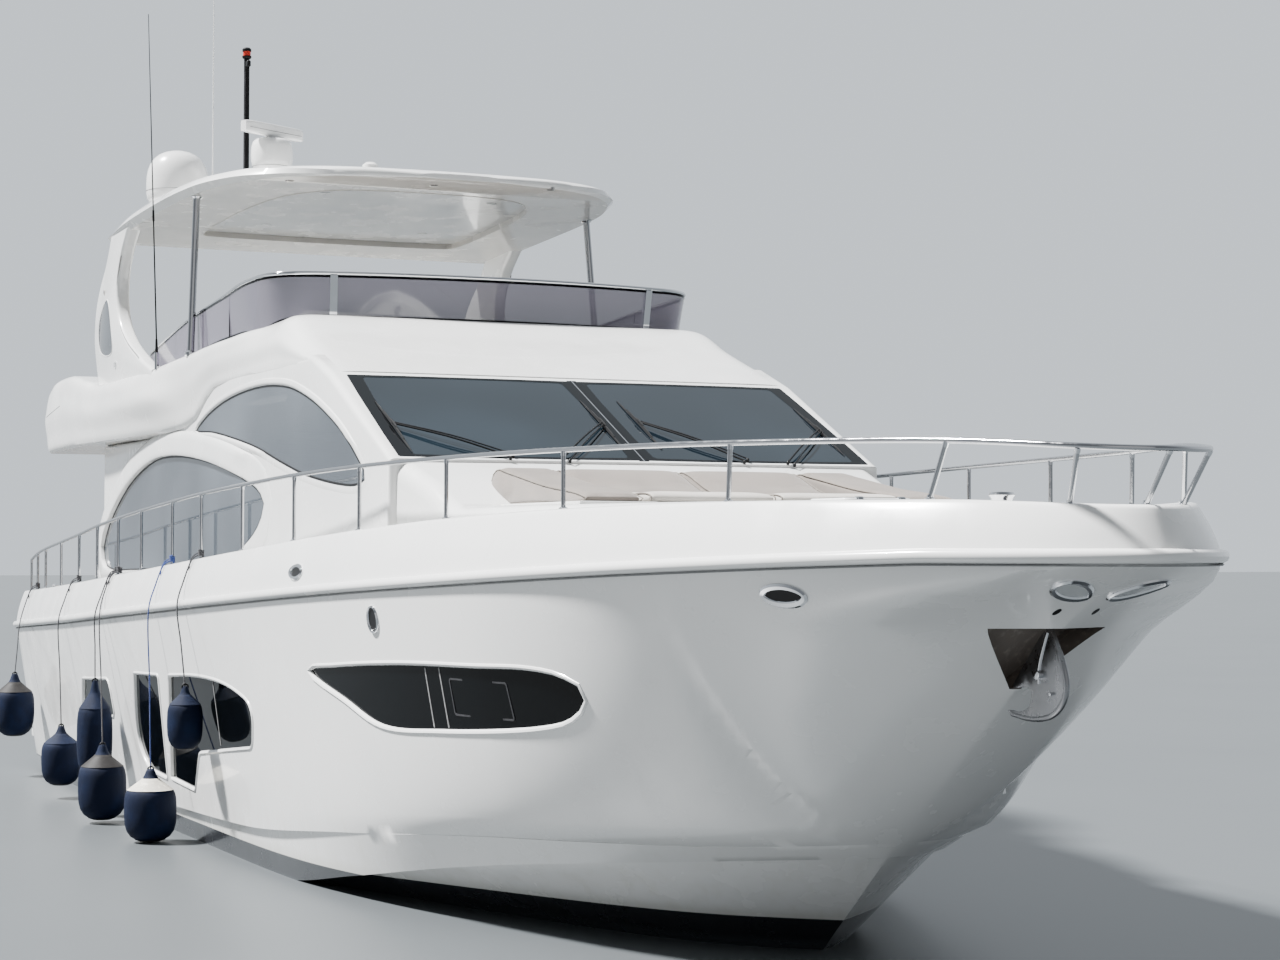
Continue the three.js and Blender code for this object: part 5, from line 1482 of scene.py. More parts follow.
def make_swim_platform():
    outline = ((-10.8003, -2.45), (-11.6, -2.45), (-11.9, -2.3), (-12, -2), (-12, 2), (-11.9, 2.3),
               (-11.6, 2.45),
               (-10.8003, 2.45))
    platform = Shape().add(slab(outline, on_level(0), 0.38, 0.496, 0.02), M.gelcoat)
    platform.add(slab(inset(outline, 0.09), on_level(0), 0.48, 0.5, 0.004), M.teak_across)
    rim = trim(inset(outline, 0.02),
               ((0, 0.485), (0, 0.499), (0.006, 0.5), (0.062, 0.5), (0.066, 0.499), (0.066, 0.485)),
               on_level(0))
    platform.add(rim, M.teak)
    for y in (-1.9, 1.9):
        platform.add(tube(spline([(-11.75, y, 0.49), (-11.75, y, 0.56), (-11.5, y, 0.56), (-11.5, y, 0.49)],
                                 24), 0.014, 10), M.chrome)
    show(platform.object("swim_platform_shape"), "swim_platform")


# Flybridge

# Stations of the fly moulding: x, half-width, tuck of the lower edge, bottom and top
FLY_STATIONS = np.array((
    (-9.65, 2.56, 0.06, 4.62, 4.9), (-9.5, 2.69, 0.06, 4.44, 5.06), (-9.25, 2.74, 0.06, 4.37, 5.23),
    (-8.85, 2.745, 0.06, 4.38, 5.33), (-8.1, 2.745, 0.06, 4.39, 5.35), (-7.2, 2.74, 0.06, 4.4, 5.24),
    (-6.2, 2.72, 0.07, 4.4, 5.13), (-5, 2.66, 0.09, 4.4, 5.15), (-3.6, 2.6, 0.12, 4.41, 5.2),
    (-2.86, 2.58, 0.13, 4.44, 5.235),
    (-2.3, 2.56, 0.125, 4.52, 5.26), (-1.95, 2.545, 0.11, 4.7, 5.28), (-1.55, 2.525, 0.095, 4.82, 5.3),
    (-0.9, 2.48, 0.065, 4.84, 5.33), (0.2, 2.43, 0.015, 4.84, 5.4),
    (0.72, 2.425, 0.01, 4.84, 5.43), (1.35, 2.42, 0.005, 4.84, 5.185), (1.97, 2.41, 0, 4.8, 4.947),
    (2.51, 2.39, 0, 4.68, 4.745)))
# Height of the soft fold along the wing, and how far it stands out
FLY_FOLD = ((-7.3, 5.26), (-6.19, 5.13), (-4.9, 4.97), (-3.6, 4.79), (-2.04, 4.53))
FOLD_OUT = ((-7.6, 0), (-6.6, 0.012), (-5, 0.024), (-3.6, 0.024), (-2.6, 0.0))
FOLD_SPAN = 0.3
STAIR_HATCH = (-8.75, -7.15, 0.95, 1.85)
FLY_SECTION = ((1, 0.02, 0.0), (0.85, 0.0, 0.03), (0.45, 0.0, 0.25), (0.0, 0.0, 0.52), (0.0, 0.018, 0.72),
               (0.0, 0.035, 0.86), (0.0, 0.06, 0.95), (0.0, 0.1, 0.99), (0.0, 0.14, 1.0))


def fly_value(column, x):
    if column == 3:
        return np.interp(x, *FLY_STATIONS[:, (0, 3)].T)
    return along(FLY_STATIONS[:, (0, column)], x)


def fly_side(x):
    """Half-widths and heights of the side of the fly moulding, rounder toward its front."""
    half, tuck, low, high = (float(fly_value(k, x)) for k in (1, 2, 3, 4))
    turn = 1 + 2.2 * float(ease((x + 0.8) / 1.4))
    lean = float(ease((x + 4.2) / 1.6))
    rows = [(half - (a + (1 - c - a) * lean) * tuck - b * turn, low + (high - low) * c) for a, b,
            c in FLY_SECTION]
    side = spline(rows, 24)
    far = np.sqrt(((side[:, 1] - along(FLY_FOLD, x)) / FOLD_SPAN) ** 2 + 0.015)
    side[:, 0] += np.interp(x, *np.array(FOLD_OUT).T) * np.maximum(1 - far, 0)
    return side


def fly_half(x, z):
    """Half-width of the fly moulding at places and heights."""
    found = []
    for one_x, one_z in zip(np.atleast_1d(x), np.atleast_1d(z)):
        side = fly_side(one_x)
        found.append(np.interp(one_z, side[:, 1], side[:, 0]))
    return np.array(found)


def fly_height(x, y):
    """Height of the top of the fly moulding at plan places."""
    found = []
    for one_x, one_y in zip(np.atleast_1d(x), np.atleast_1d(y)):
        side = fly_side(one_x)[10:]
        found.append(np.interp(-abs(one_y), -side[:, 0], side[:, 1]))
    return np.array(found)


def make_flybridge():
    rings = []
    ends = FLY_STATIONS[[0, -1], 0]
    places = np.r_[ends[0], ends[0] + np.array((0.01, 0.03, 0.06, 0.1, 0.15, 0.22, 0.3, 0.4, 0.5, 0.65)),
                   np.linspace(-8.9, -0.1, 60),
                   np.linspace(0, ends[1], 26)]
    for x in places:
        side = fly_side(x)
        port = np.column_stack([np.full(len(side), x), side])
        rings.append(np.vstack([port, (port * (1, -1, 1))[::-1]]))
    fly = Shape().add(loft(rings), M.gelcoat).object("flybridge_shape", 32)
    hatch = cuboid(*STAIR_HATCH, 4, 4.7)
    for hollow in (shell(soften(FLY_WELL, 2), on_level(0), FLY_FLOOR_Z, 6.5), hatch):
        cut(fly, Shape().add(hollow, M.gelcoat), 32)
    mesh = fly.data
    mesh.materials.append(M.deck_grip)
    mesh.materials.append(M.soffit)
    # Faces turned downward get the darker soffit gelcoat: painted shade under the wing.
    for face in mesh.polygons:
        if face.normal.z > 0.95 and abs(face.center.z - FLY_FLOOR_Z) < 0.01:
            face.material_index = len(mesh.materials) - 2
        elif face.normal.z < -0.85:
            face.material_index = len(mesh.materials) - 1
    show(fly, "flybridge")


LAMP = ((0, 0.012), (0.035, 0.012), (0.045, 0.004), (0.045, -0.01), (0, -0.01))
COCKPIT_LAMPS = ((-8.2, 1.6), (-7.5, 0.6))


def make_fly_trim():
    trims, lamps = Shape(), Shape()
    for _, sign in SIDES:
        skin = on_skin(fly_half, sign)
        seam = np.array([(x, 4.86 + 0.12 * (x + 9.2)) for x in np.linspace(-9.2, -8.3, 14)])
        trims.add(tube(skin(seam[:, 0], seam[:, 1], 0.0005), 0.0035, 6), M.grey_trim)
        for x, y in COCKPIT_LAMPS:
            lamps.add(lathe(LAMP, (x, sign * y, 4.4), (0, 0, -1), 24), M.lens)
    fitted(trims.object("fly_seams"))
    fitted(lamps.object("cockpit_lamps"))


SCREEN_PATH = ((-4.9, 2.33), (-3, 2.365), (-1.2, 2.38), (-0.2, 2.37), (0.19, 2.3), (0.4, 2.11), (0.51, 1.7),
               (0.62, 0.9))
SCREEN_TOP = ((-4.9, 5.42), (-2.7, 5.68), (-0.2, 5.83), (0.66, 5.86))
SCREEN_COUNT = 160
SCREEN_NOSE_X = 0.66
SCREEN_MIDDLE_Z = 5.6


def screen_path():
    port = [*SCREEN_PATH, (SCREEN_NOSE_X, 0)]
    return spline(port + [(x, -y) for x, y in reversed(SCREEN_PATH)], SCREEN_COUNT)


def normals(path):
    """Directions outward from a plan path, away from the fly deck."""
    run = np.gradient(path, axis=0)
    run /= np.linalg.norm(run, axis=1)[:, None]
    return np.column_stack([-run[:, 1], run[:, 0]])


def ribbon(path, low, high, thick, rake):
    """Upright band along a path, leaning outward as far as rake says at each point."""
    rings = []
    for side, height in ((-1, low), (1, low), (1, high), (-1, high)):
        lean = rake * (height - SCREEN_MIDDLE_Z)
        plan = path + normals(path) * (lean + side * thick / 2)[:, None]
        rings.append(np.column_stack([plan, height]))
    return loft(np.stack(rings, 1))


def make_fly_screen():
    path = screen_path()
    rake = 0.16 * ease((path[:, 0] + 1.6) / 1.2)
    top = along(SCREEN_TOP, path[:, 0])
    foot = np.minimum(fly_height(path[:, 0], path[:, 1]), fly_value(4, path[:, 0]))
    show(Shape().add(ribbon(path, foot - 0.03, top, 0.01, rake),
                     M.screen_glass).object("fly_windscreen_shape"),
         "fly_windscreen")
    seal = Shape()
    seal.add(ribbon(path, foot - 0.02, foot + 0.026, 0.024, rake), M.hull_glass)
    seal.add(ribbon(path, top - 0.022, top - 0.0005, 0.014, rake), M.hull_glass)
    for fraction in (0.17, 0.25, 0.75, 0.83):
        k = int(fraction * (len(path) - 1))
        seal.add(tube([(*path[k], foot[k] + 0.02), (*path[k], top[k])], 0.0075, 8), M.seal)
    fitted(seal.object("fly_screen_seals"))
    head = path + normals(path) * (rake * (top - SCREEN_MIDDLE_Z))[:, None]
    radius = np.interp(path[:, 0], (-1.9, -0.8), (0.011, RAIL_R))
    rail = Shape().add(tube(np.column_stack([head, top + radius + 0.0003]), radius, 14), M.chrome)
    show(rail.object("fly_screen_rail_shape"), "fly_screen_rail")
    mullions = Shape()
    for y in (-1.74, 1.74):
        k = int(np.argmin(np.hypot(path[:, 0] - 0.5, path[:, 1] - y)))
        span = slice(k - 1, k + 2)
        mullions.add(ribbon(path[k] + (path[span] - path[k]) * 0.4, foot[span], top[span], 0.05, rake[span]),
                     M.chrome)
    fitted(mullions.object("fly_screen_mullions"))


# Stations of the hardtop: x, half-width, underside and crown
TOP_STATIONS = np.array((
    (-6.5, 2.35, 6.93, 7.02), (-6.3, 2.56, 6.9, 7.09), (-5, 2.6, 6.95, 7.21), (-3.5, 2.57, 7, 7.26),
    (-2.4, 2.49, 7.03, 7.27),
    (-1.6, 2.28, 7.05, 7.26), (-1, 1.9, 7.055, 7.22), (-0.65, 1.32, 7.06, 7.18), (-0.48, 0.45, 7.07, 7.13)))
TOP_PANEL = ((-5.35, -1.5), (-5.35, 1.5), (-5.15, 1.7), (-2.5, 1.6), (-1.75, 1.25), (-1.45, 0.7),
             (-1.45, -0.7),
             (-1.75, -1.25), (-2.5, -1.6), (-5.15, -1.7))
PANEL_RECESS = 0.06
TOP_STUDS = ((-1.19, -1.71), (-0.87, -0.18), (-0.64, 1.1))
TOP_LAMPS = ((-2.2, -1.0), (-2.2, 1.0), (-4.6, -1.0), (-4.6, 1.0))


def top_value(column, x):
    return along(TOP_STATIONS[:, (0, column)], x)


def under_top(u, v, depth):
    """Underside of the hardtop, with depths downward."""
    return np.column_stack([u, v, top_value(2, u) - depth])


def make_hardtop():
    rings = []
    t = np.linspace(0, 1, 80)
    places = TOP_STATIONS[0, 0] + (TOP_STATIONS[-1, 0] - TOP_STATIONS[0, 0]) * (1 - (1 - t ** 1.3) ** 1.7)
    for x in places:
        half, low, high = (float(top_value(k, x)) for k in (1, 2, 3))
        rise = high - low
        rows = [(half - 0.07, low), (half - 0.02, low + 0.1 * rise), (half, low + 0.32 * rise),
                (half - 0.02, low + 0.52 * rise),
                (half * 0.95 - 0.02, low + 0.72 * rise), (half * 0.8, low + 0.88 * rise),
                (half * 0.4, high - 0.02 * rise), (0, high)]
        port = spline(rows, 26)
        port = np.column_stack([np.full(len(port), x), port])
        rings.append(np.vstack([port, (port[:-1] * (1, -1, 1))[::-1]]))
    top = Shape().add(loft(rings), M.gelcoat).object("hardtop_shape", 40)
    cut(top, Shape().add(shell(soften(TOP_PANEL, 2), under_top, -PANEL_RECESS, 0.1, 0.35), M.light_panel), 40)
    mesh = top.data
    mesh.materials.append(M.soffit)
    # Downward faces of the hardtop get the darker soffit gelcoat: painted shade.
    for face in mesh.polygons:
        if face.normal.z < -0.8 and face.material_index == 0:
            face.material_index = len(mesh.materials) - 1
    show(top, "hardtop")
    trims = Shape()
    lip = ((-0.012, -0.002), (-0.012, 0.006), (0.004, 0.006), (0.004, -PANEL_RECESS - 0.004),
           (-0.012, -PANEL_RECESS - 0.004))
    # The lip round the panel recess wears the darker soffit gelcoat as painted shade.
    trims.add(trim(soften(TOP_PANEL, 2), lip, under_top), M.soffit)
    for x, y in TOP_STUDS:
        trims.add(lathe(((0, -0.02), (0.05, -0.02), (0.05, 0.006), (0.036, 0.014), (0, 0.014)),
                        (x, y, float(top_value(2, x)) - 0.002), (0, 0, -1), 24), M.dull_steel)
    for x, y in TOP_LAMPS:
        trims.add(lathe(((0, -0.01), (0.06, -0.01), (0.06, 0.004), (0.045, 0.01), (0, 0.01)),
                        (x, y, float(top_value(2, x)) + PANEL_RECESS - 0.002), (0, 0, -1), 24), M.lens)
    fitted(trims.object("hardtop_fittings"))


LEG_OUTER = ((-6.65, 5.05), (-6.88, 5.4), (-7.0, 5.75), (-6.93, 6.1), (-6.7, 6.38), (-6.35, 6.65),
             (-6.05, 6.98))
LEG_INNER = ((-5.1, 6.98), (-5.5, 6.68), (-5.7, 6.4), (-5.72, 6.12), (-5.58, 5.88), (-5.2, 5.62),
             (-4.5, 5.35),
             (-3.85, 5.17), (-3.85, 5.05))
LEG_WINDOW = ((-6.25, 6.19), (-6.71, 5.91), (-6.64, 5.59), (-5.95, 5.53), (-6.03, 5.85))
LEG_Y = 2.4
LEG_THICK = 0.17


def make_legs():
    outer = spline(LEG_OUTER, 28)
    inner = np.vstack([spline(LEG_INNER[:-1], 34), LEG_INNER[-1:]])
    outline = np.vstack([outer, inner])
    groove = spline(LEG_INNER[1:-2], 40)
    for side, sign in SIDES:
        leg = Shape().add(slab(outline, on_side(sign, LEG_Y), 0.0, LEG_THICK, 0.045, 5), M.gelcoat)
        show(leg.object(f"hardtop_leg_{side}_shape", 40), f"hardtop_leg_{side}")
        extras = Shape()
        face = on_side(sign, LEG_Y + LEG_THICK)
        window = spline(LEG_WINDOW, 48, closed=True)
        extras.add(slab(window, face, -0.01, 0.002, 0.001), M.side_glass)
        extras.add(trim(window,
                        ((0.004, -0.004), (0.004, 0.004), (-0.006, 0.006), (-0.012, 0.002),
                         (-0.012, -0.004)), face), M.gelcoat)
        level = np.full(len(groove), sign * (LEG_Y + LEG_THICK - 0.012))
        line_points = np.column_stack([groove[:, 0] - 0.03, level, groove[:, 1] - 0.01])
        extras.add(tube(line_points, 0.008, 8), M.grey_trim)
        extras.add(lathe(((0, -0.01), (0.03, -0.01), (0.03, 0.01), (0, 0.016)),
                         (-6.4, sign * (LEG_Y + LEG_THICK), 6.3),
                         (0, sign, 0), 20), M.dull_steel)
        extras.add(lathe(((0, -0.01), (0.045, -0.01), (0.04, 0.02), (0, 0.026)),
                         (-5.75, sign * (LEG_Y + LEG_THICK), 5.35),
                         (0, sign, 0), 24), M.lens)
        fitted(extras.object(f"leg_fittings_{side}"))


def make_posts():
    for side, sign in SIDES:
        foot, head = np.array((-2.45, sign * 2.464, 5.2)), np.array((-2.6, sign * 2.364, 7.1))
        up_post = (head - foot) / np.linalg.norm(head - foot)
        low = foot + up_post * (fly_height(-2.45, 2.455)[0] - foot[2]) / up_post[2]
        high = foot + up_post * (top_value(2, -2.6) - foot[2] + 0.01) / up_post[2]
        post = Shape().add(tube([low - up_post * 0.02, high], 0.04, 28), M.steel)
        for place, way in ((low, up_post), (high - up_post * 0.01, -up_post)):
            post.add(lathe(((0, -0.02), (0.066, -0.02), (0.066, 0.012), (0.048, 0.03), (0, 0.03)), place,
                           tuple(way), 28), M.chrome)
        show(post.object(f"hardtop_post_{side}_shape"), f"hardtop_post_{side}")


# Radar, dome, mast and whips

RADAR = (-4.9, -0.85)
PYLON = ((0, 7.15), (0.17, 7.15), (0.165, 7.3), (0.135, 7.5), (0.12, 7.62), (0.125, 7.7), (0.2, 7.735),
         (0.235, 7.77),
         (0.252, 7.84), (0.258, 7.92), (0.252, 8.02), (0.235, 8.08), (0.2, 8.115), (0.031, 8.12),
         (0.031, 8.04), (0, 8.04))
DOME = ((0, 7.05), (0.15, 7.05), (0.15, 7.34), (0.2, 7.355), (0.34, 7.37), (0.367, 7.4), (0.38, 7.48),
        (0.382, 7.58),
        (0.377, 7.68), (0.362, 7.76), (0.335, 7.835), (0.292, 7.9), (0.235, 7.95), (0.165, 7.985),
        (0.085, 8.005), (0, 8.01))
SCANNER_HALF = 0.5
SCANNER_TURN = math.radians(30)
MAST = (-6.3, -0.79)
DOME_PLACE = (-5.6, -1.85)
RADAR_FOOT = ((0, 7.1), (0.24, 7.1), (0.24, 7.245), (0.2, 7.265), (0, 7.265))
SCANNER_HUB = ((0, 8.045), (0.0305, 8.045), (0.0305, 8.126), (0.09, 8.126), (0.088, 8.145), (0.085, 8.16),
               (0, 8.16))
# Turned parts of the light mast: sides, look and profile
MAST_PARTS = (
    (28, "black", ((0, 7.08), (0.075, 7.08), (0.075, 7.13), (0.045, 7.17), (0.038, 7.2), (0.036, 9.4),
                   (0, 9.4))),
    (32, "black", ((0, 9.38), (0.052, 9.38), (0.06, 9.395), (0.06, 9.41), (0, 9.41))),
    (32, "red_lamp", ((0, 9.41), (0.05, 9.41), (0.05, 9.47), (0, 9.47))),
    (32, "black", ((0, 9.47), (0.058, 9.47), (0.058, 9.5), (0.04, 9.518), (0, 9.52))),
)
MAST_CABLE = ((-6.28, -0.82, 7.15), (-6.26, -0.825, 7.9), (-6.262, -0.823, 8.6), (-6.266, -0.82, 9.2))
WHIP_FOOT = (-3.72, -2.54, 5.35)
WHIP_TIP = (-3.4, -2.74, 9.2)
WHIP_RADII = (0.0095, 0.0075, 0.004)
PALE_WHIP = (-5.9, -1.33)
POSITION_AERIAL = (-1.04, -0.85, 0)


def seam_ring(radius, at, height):
    a = np.linspace(0, 2 * math.pi, 64, endpoint=False)
    return np.column_stack([at[0] + radius * np.cos(a), at[1] + radius * np.sin(a), np.full(64, height)])


def scanner_place(x, y, z):
    c, s = math.cos(SCANNER_TURN), math.sin(SCANNER_TURN)
    return (RADAR[0] + x * c - y * s, RADAR[1] + x * s + y * c, z)


def make_masthead_gear():
    pylon = Shape().add(lathe(PYLON, (*RADAR, 0), sides=56), M.radome)
    pylon.add(tube(seam_ring(0.2375, RADAR, 7.775), 0.003, 6, True), M.grey_trim)
    pylon.add(lathe(RADAR_FOOT, (*RADAR, 0), sides=48), M.gelcoat)
    show(pylon.object("radar_pedestal_shape", 45), "radar_pedestal")
    bar_rings = []
    for t in np.linspace(-1, 1, 27):
        pinch = 1 - 0.35 * abs(t) ** 10
        outline = rounded_box(-0.06 * pinch, 0.075 * pinch, 8.15 + 0.02 * (1 - pinch),
                              8.3 - 0.03 * (1 - pinch), 0.03 * pinch, 4)
        bar_rings.append([scanner_place(x, SCANNER_HALF * t, z) for x, z in outline])
    scanner = Shape().add(loft(bar_rings), M.radome)
    scanner.add(lathe(SCANNER_HUB, (*RADAR, 0), sides=36), M.radome)
    ridge = [scanner_place(0.0765, SCANNER_HALF * t, 8.21) for t in (-0.9, 0, 0.9)]
    scanner.add(tube(ridge, 0.0035, 6), M.grey_trim)
    show(scanner.object("radar_scanner_shape", 45), "radar_scanner")
    dome = Shape().add(lathe(DOME, (*DOME_PLACE, 0), sides=64), M.radome)
    dome.add(tube(seam_ring(0.3815, DOME_PLACE, 7.5), 0.0035, 6, True), M.grey_trim)
    show(dome.object("satellite_dome_shape", 50), "satellite_dome")
    mast = Shape()
    for sides, look, profile in MAST_PARTS:
        mast.add(lathe(profile, (*MAST, 0), sides=sides), getattr(M, look))
    mast.add(pillow(-6.28, -6.18, -0.815, -0.765, 9.26, 9.34, 0.015), M.black)
    mast.add(tube(spline(MAST_CABLE, 24), 0.006, 6), M.seal)
    show(mast.object("light_mast_shape"), "light_mast")
    base, tip = np.array(WHIP_FOOT), np.array(WHIP_TIP)
    rise = tip - base
    dark = Shape().add(tube([base - (0, 0, 0.2), base], 0.026, 16), M.chrome)
    dark.add(tube([base - (0, 0, 0.04), base + rise * 0.04], (0.02, 0.013), 14), M.black)
    dark.add(tube([base + rise * 0.03, base + rise * 0.5, tip], WHIP_RADII, 10), M.black)
    dark.add(tube([base + rise * 0.39, base + rise * 0.423], 0.013, 12), M.black)
    show(dark.object("whip_aerial_starboard_shape"), "whip_aerial_starboard")
    pale = Shape().add(tube([(*PALE_WHIP, z) for z in (7.12, 7.42)], (0.025, 0.022), 16), M.gelcoat)
    pale.add(tube([(*PALE_WHIP, z) for z in (7.4, 8.9, 10.4)], WHIP_RADII, 10), M.gelcoat)
    show(pale.object("whip_aerial_centre_shape"), "whip_aerial_centre")
    profile = ((0, 7.2), (0.09, 7.2), (0.085, 7.255), (0.05, 7.285), (0, 7.29))
    bump = Shape().add(lathe(profile, POSITION_AERIAL, sides=36), M.radome)
    fitted(bump.object("position_aerial"))


# Foredeck

TRUNK_AFT_X = 4.3003
TRUNK_NOSE_X = 9.7
TRUNK_TOP_Z = 3.44
TRUNK_PROFILE = ((TRUNK_AFT_X, 3.84), (4.9, 3.64), (5.3, TRUNK_TOP_Z), (7.4, TRUNK_TOP_Z), (9.2, TRUNK_TOP_Z),
                 (9.6, 3.38), (TRUNK_NOSE_X, 3.2))
TRUNK_PLAN = ((TRUNK_AFT_X, 2.35), (6, 2.15), (7.6, 1.7), (8.8, 1.15), (9.5, 0.65), (TRUNK_NOSE_X, 0.2))
HATCH_X = 8.2
HATCH_HALF = 0.3


def make_trunk():
    rings = []
    t = np.linspace(0, 1, 60)
    for x in TRUNK_AFT_X + (TRUNK_NOSE_X - TRUNK_AFT_X) * (1 - (1 - t) ** 1.5):
        half, top = float(along(TRUNK_PLAN, x)), float(np.interp(x, *np.array(TRUNK_PROFILE).T))
        r = min(0.14, half * 0.8)
        rows = [(half + 0.02, 2.5), (half, top - r * 1.2)]
        rows += [(half - r * (1 - math.cos(a)),
                  top - r * (1 - math.sin(a))) for a in np.radians((15, 35, 55, 75, 90))]
        rows += [(half * 0.5, top + 0.004), (0, top + 0.006)]
        port = np.array([(x, y, z) for y, z in rows])
        rings.append(np.vstack([port, (port[:-1] * (1, -1, 1))[::-1]]))
    trunk = Shape().add(loft(rings), M.gelcoat).object("foredeck_trunk_shape", 40)
    show(trunk, "foredeck_trunk")
    hatch = Shape()
    outline = rounded_box(HATCH_X - HATCH_HALF, HATCH_X + HATCH_HALF, -HATCH_HALF, HATCH_HALF, 0.09)
    hatch.add(slab(outline, on_level(TRUNK_TOP_Z), 0.0, 0.035, 0.012), M.gelcoat)
    hatch.add(slab(inset(outline, 0.06), on_level(TRUNK_TOP_Z), 0.02, 0.041, 0.003), M.hull_glass)
    for y in (-0.18, 0.18):
        hatch.add(pillow(HATCH_X + 0.27, HATCH_X + 0.33, y - 0.03, y + 0.03, TRUNK_TOP_Z,
                         TRUNK_TOP_Z + 0.045, 0.012),
                  M.chrome)
    fitted(hatch.object("foredeck_hatch"))


# Padded pieces

VOXEL = 0.028
PAD_PRESSURE = 4.0
PAD_STIFFNESS = 18.0
PAD_FRAMES = 20


def point_places(mesh):
    places = np.empty(len(mesh.vertices) * 3)
    mesh.vertices.foreach_get("co", places)
    return places.reshape(-1, 3)


def puffed(obj, cap):
    """Swells a pad by cloth simulation and keeps each point within a reach of its start."""
    remesh = obj.modifiers.new("remesh", "REMESH")
    remesh.mode = "VOXEL"
    remesh.voxel_size = VOXEL
    applied(obj)
    start = point_places(obj.data)
    cloth_modifier = obj.modifiers.new("cloth", "CLOTH")
    settings = cloth_modifier.settings
    settings.quality = 4
    settings.mass = 0.4
    settings.tension_stiffness = settings.compression_stiffness = PAD_STIFFNESS
    settings.bending_stiffness = 3.0
    settings.use_pressure = True
    settings.uniform_pressure_force = PAD_PRESSURE
    settings.effector_weights.gravity = 0
    cloth_modifier.collision_settings.use_collision = False
    for frame_number in range(1, PAD_FRAMES + 1):
        scene.frame_set(frame_number)
    applied(obj)
    scene.frame_set(1)
    step = point_places(obj.data) - start
    size = np.linalg.norm(step, axis=1)[:, None]
    end = start + step * np.minimum(1, cap / np.maximum(size, 1e-9))
    obj.data.vertices.foreach_set("co", end.ravel())
    finer = obj.modifiers.new("finer", "SUBSURF")
    finer.levels = finer.render_levels = 1
    return applied(obj, 50)


def finished_pad(pad, cap):
    puffed(pad, cap)
    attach(pad, "boat")
    return pad


PAD_ROUND = np.radians(np.linspace(0, 90, 5))
PAD_COLUMNS = 14
BACK_SECTION = ((4.79, 3.52), (5.3, 3.475), (5.78, 3.46), (5.79, 3.51), (5.45, 3.62), (5.1, 3.745),
                (4.97, 3.765), (4.86, 3.72))
ARM_SECTION = ((4.79, 3.52), (5.8, 3.465), (6.8, 3.46), (6.88, 3.485), (6.74, 3.525), (6.0, 3.61),
               (5.2, 3.735), (4.97, 3.765),
               (4.86, 3.72))
SEAT_SECTION = ((5.82, 3.465), (6.3, 3.463), (6.85, 3.463), (6.9, 3.49), (6.85, 3.525), (6.3, 3.53),
                (5.85, 3.525))
SUNPAD_PARTS = (("back_starboard", BACK_SECTION, -1.15, -0.012, "cushion"),
                ("back_port", BACK_SECTION, 0.012, 1.15, "cushion"),
                ("arm_starboard", ARM_SECTION, -1.7, -1.175, "cushion"),
                ("arm_port", ARM_SECTION, 1.175, 1.7, "cushion"),
                ("seat_starboard", SEAT_SECTION, -1.15, -0.012, "light_cushion"),
                ("seat_port", SEAT_SECTION, 0.012, 1.15, "light_cushion"))


SUNPAD_BASE = ((4.76, -1.78), (5.9, -1.78), (6.98, -1.78), (6.98, -1.12), (5.9, -1.12), (5.9, 1.12),
               (6.98, 1.12), (6.98, 1.78), (5.9, 1.78), (4.76, 1.78))


def bent_pad(section, y0, y1, radius):
    """Cushion of a side section, run across the boat with round ends."""
    outline = spline(section, 56, closed=True)
    ends = [(radius * (1 - math.cos(a)), inset(outline, radius * (1 - math.sin(a)))) for a in PAD_ROUND]
    rings = [(y0 + step, ring) for step, ring in ends]
    rings += [(y, outline) for y in np.linspace(y0 + radius, y1 - radius, PAD_COLUMNS)[1:-1]]
    rings += [(y1 - step, ring) for step, ring in reversed(ends)]
    return loft([[(x, y, z) for x, z in ring] for y, ring in rings])


def make_sunpad():
    piping = Shape()
    for name, section, y0, y1, cover in SUNPAD_PARTS:
        pad = Shape().add(bent_pad(section, y0, y1, 0.03), getattr(M, cover)).object(f"sunpad_{name}", 50)
        finished_pad(pad, 0.014)
        outline = inset(spline(section, 56, closed=True), 0.006)
        for y in (y0 + 0.02, y1 - 0.02):
            ring = np.column_stack([outline[:, 0], np.full(len(outline), y), outline[:, 1]])
            piping.add(tube(ring, 0.006, 8, True), M.piping)
    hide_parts("sunpad")
    base = Shape().add(slab(SUNPAD_BASE, on_level(TRUNK_TOP_Z), 0.0, 0.022, 0.008), M.gelcoat)
    fitted(base.object("sunpad_base"))
    fitted(piping.object("sunpad_piping"))


# Furniture: seat base box, then the pads on it

def padded_box(name, box, crown=0.02, radius=0.05):
    x0, x1, y0, y1, z0, z1 = box
    block = pillow(x0, x1, y0, y1, z0, z1 - crown, radius, crown, 6, 20)
    finished_pad(Shape().add(block, M.light_cushion).object(name, 50), 0.015)


# Sofas: node, x, y, floor, seat height, back height, back thickness, pads across
SOFAS = (
    ("saloon_sofa", (-4.6, -3.7), (-2.15, -0.3), SALOON_FLOOR_Z, 0.42, 0.85, 0.2, 2),
    ("helm_seats", (1.5, 2.15), (-1.7, 0.3), SALOON_FLOOR_Z, 0.95, 1.6, 0.14, 2),
    ("cockpit_sofa", (-10.6, -9.95), (-1.5, 1.5), COCKPIT_SOLE_Z, 0.43, 0.8, 0.18, 3),
    ("fly_helm_seat", (-1.9, -1.35), (-1.5, -0.2), FLY_FLOOR_Z, 0.48, 0.98, 0.14, 2),
    ("fly_sofa", (-5.2, -4.5), (0.9, 2.1), FLY_FLOOR_Z, 0.43, 0.8, 0.18, 2),
)
PAD_THICK = 0.13
PAD_GAP = 0.008
SHELL_SHARE = 0.35


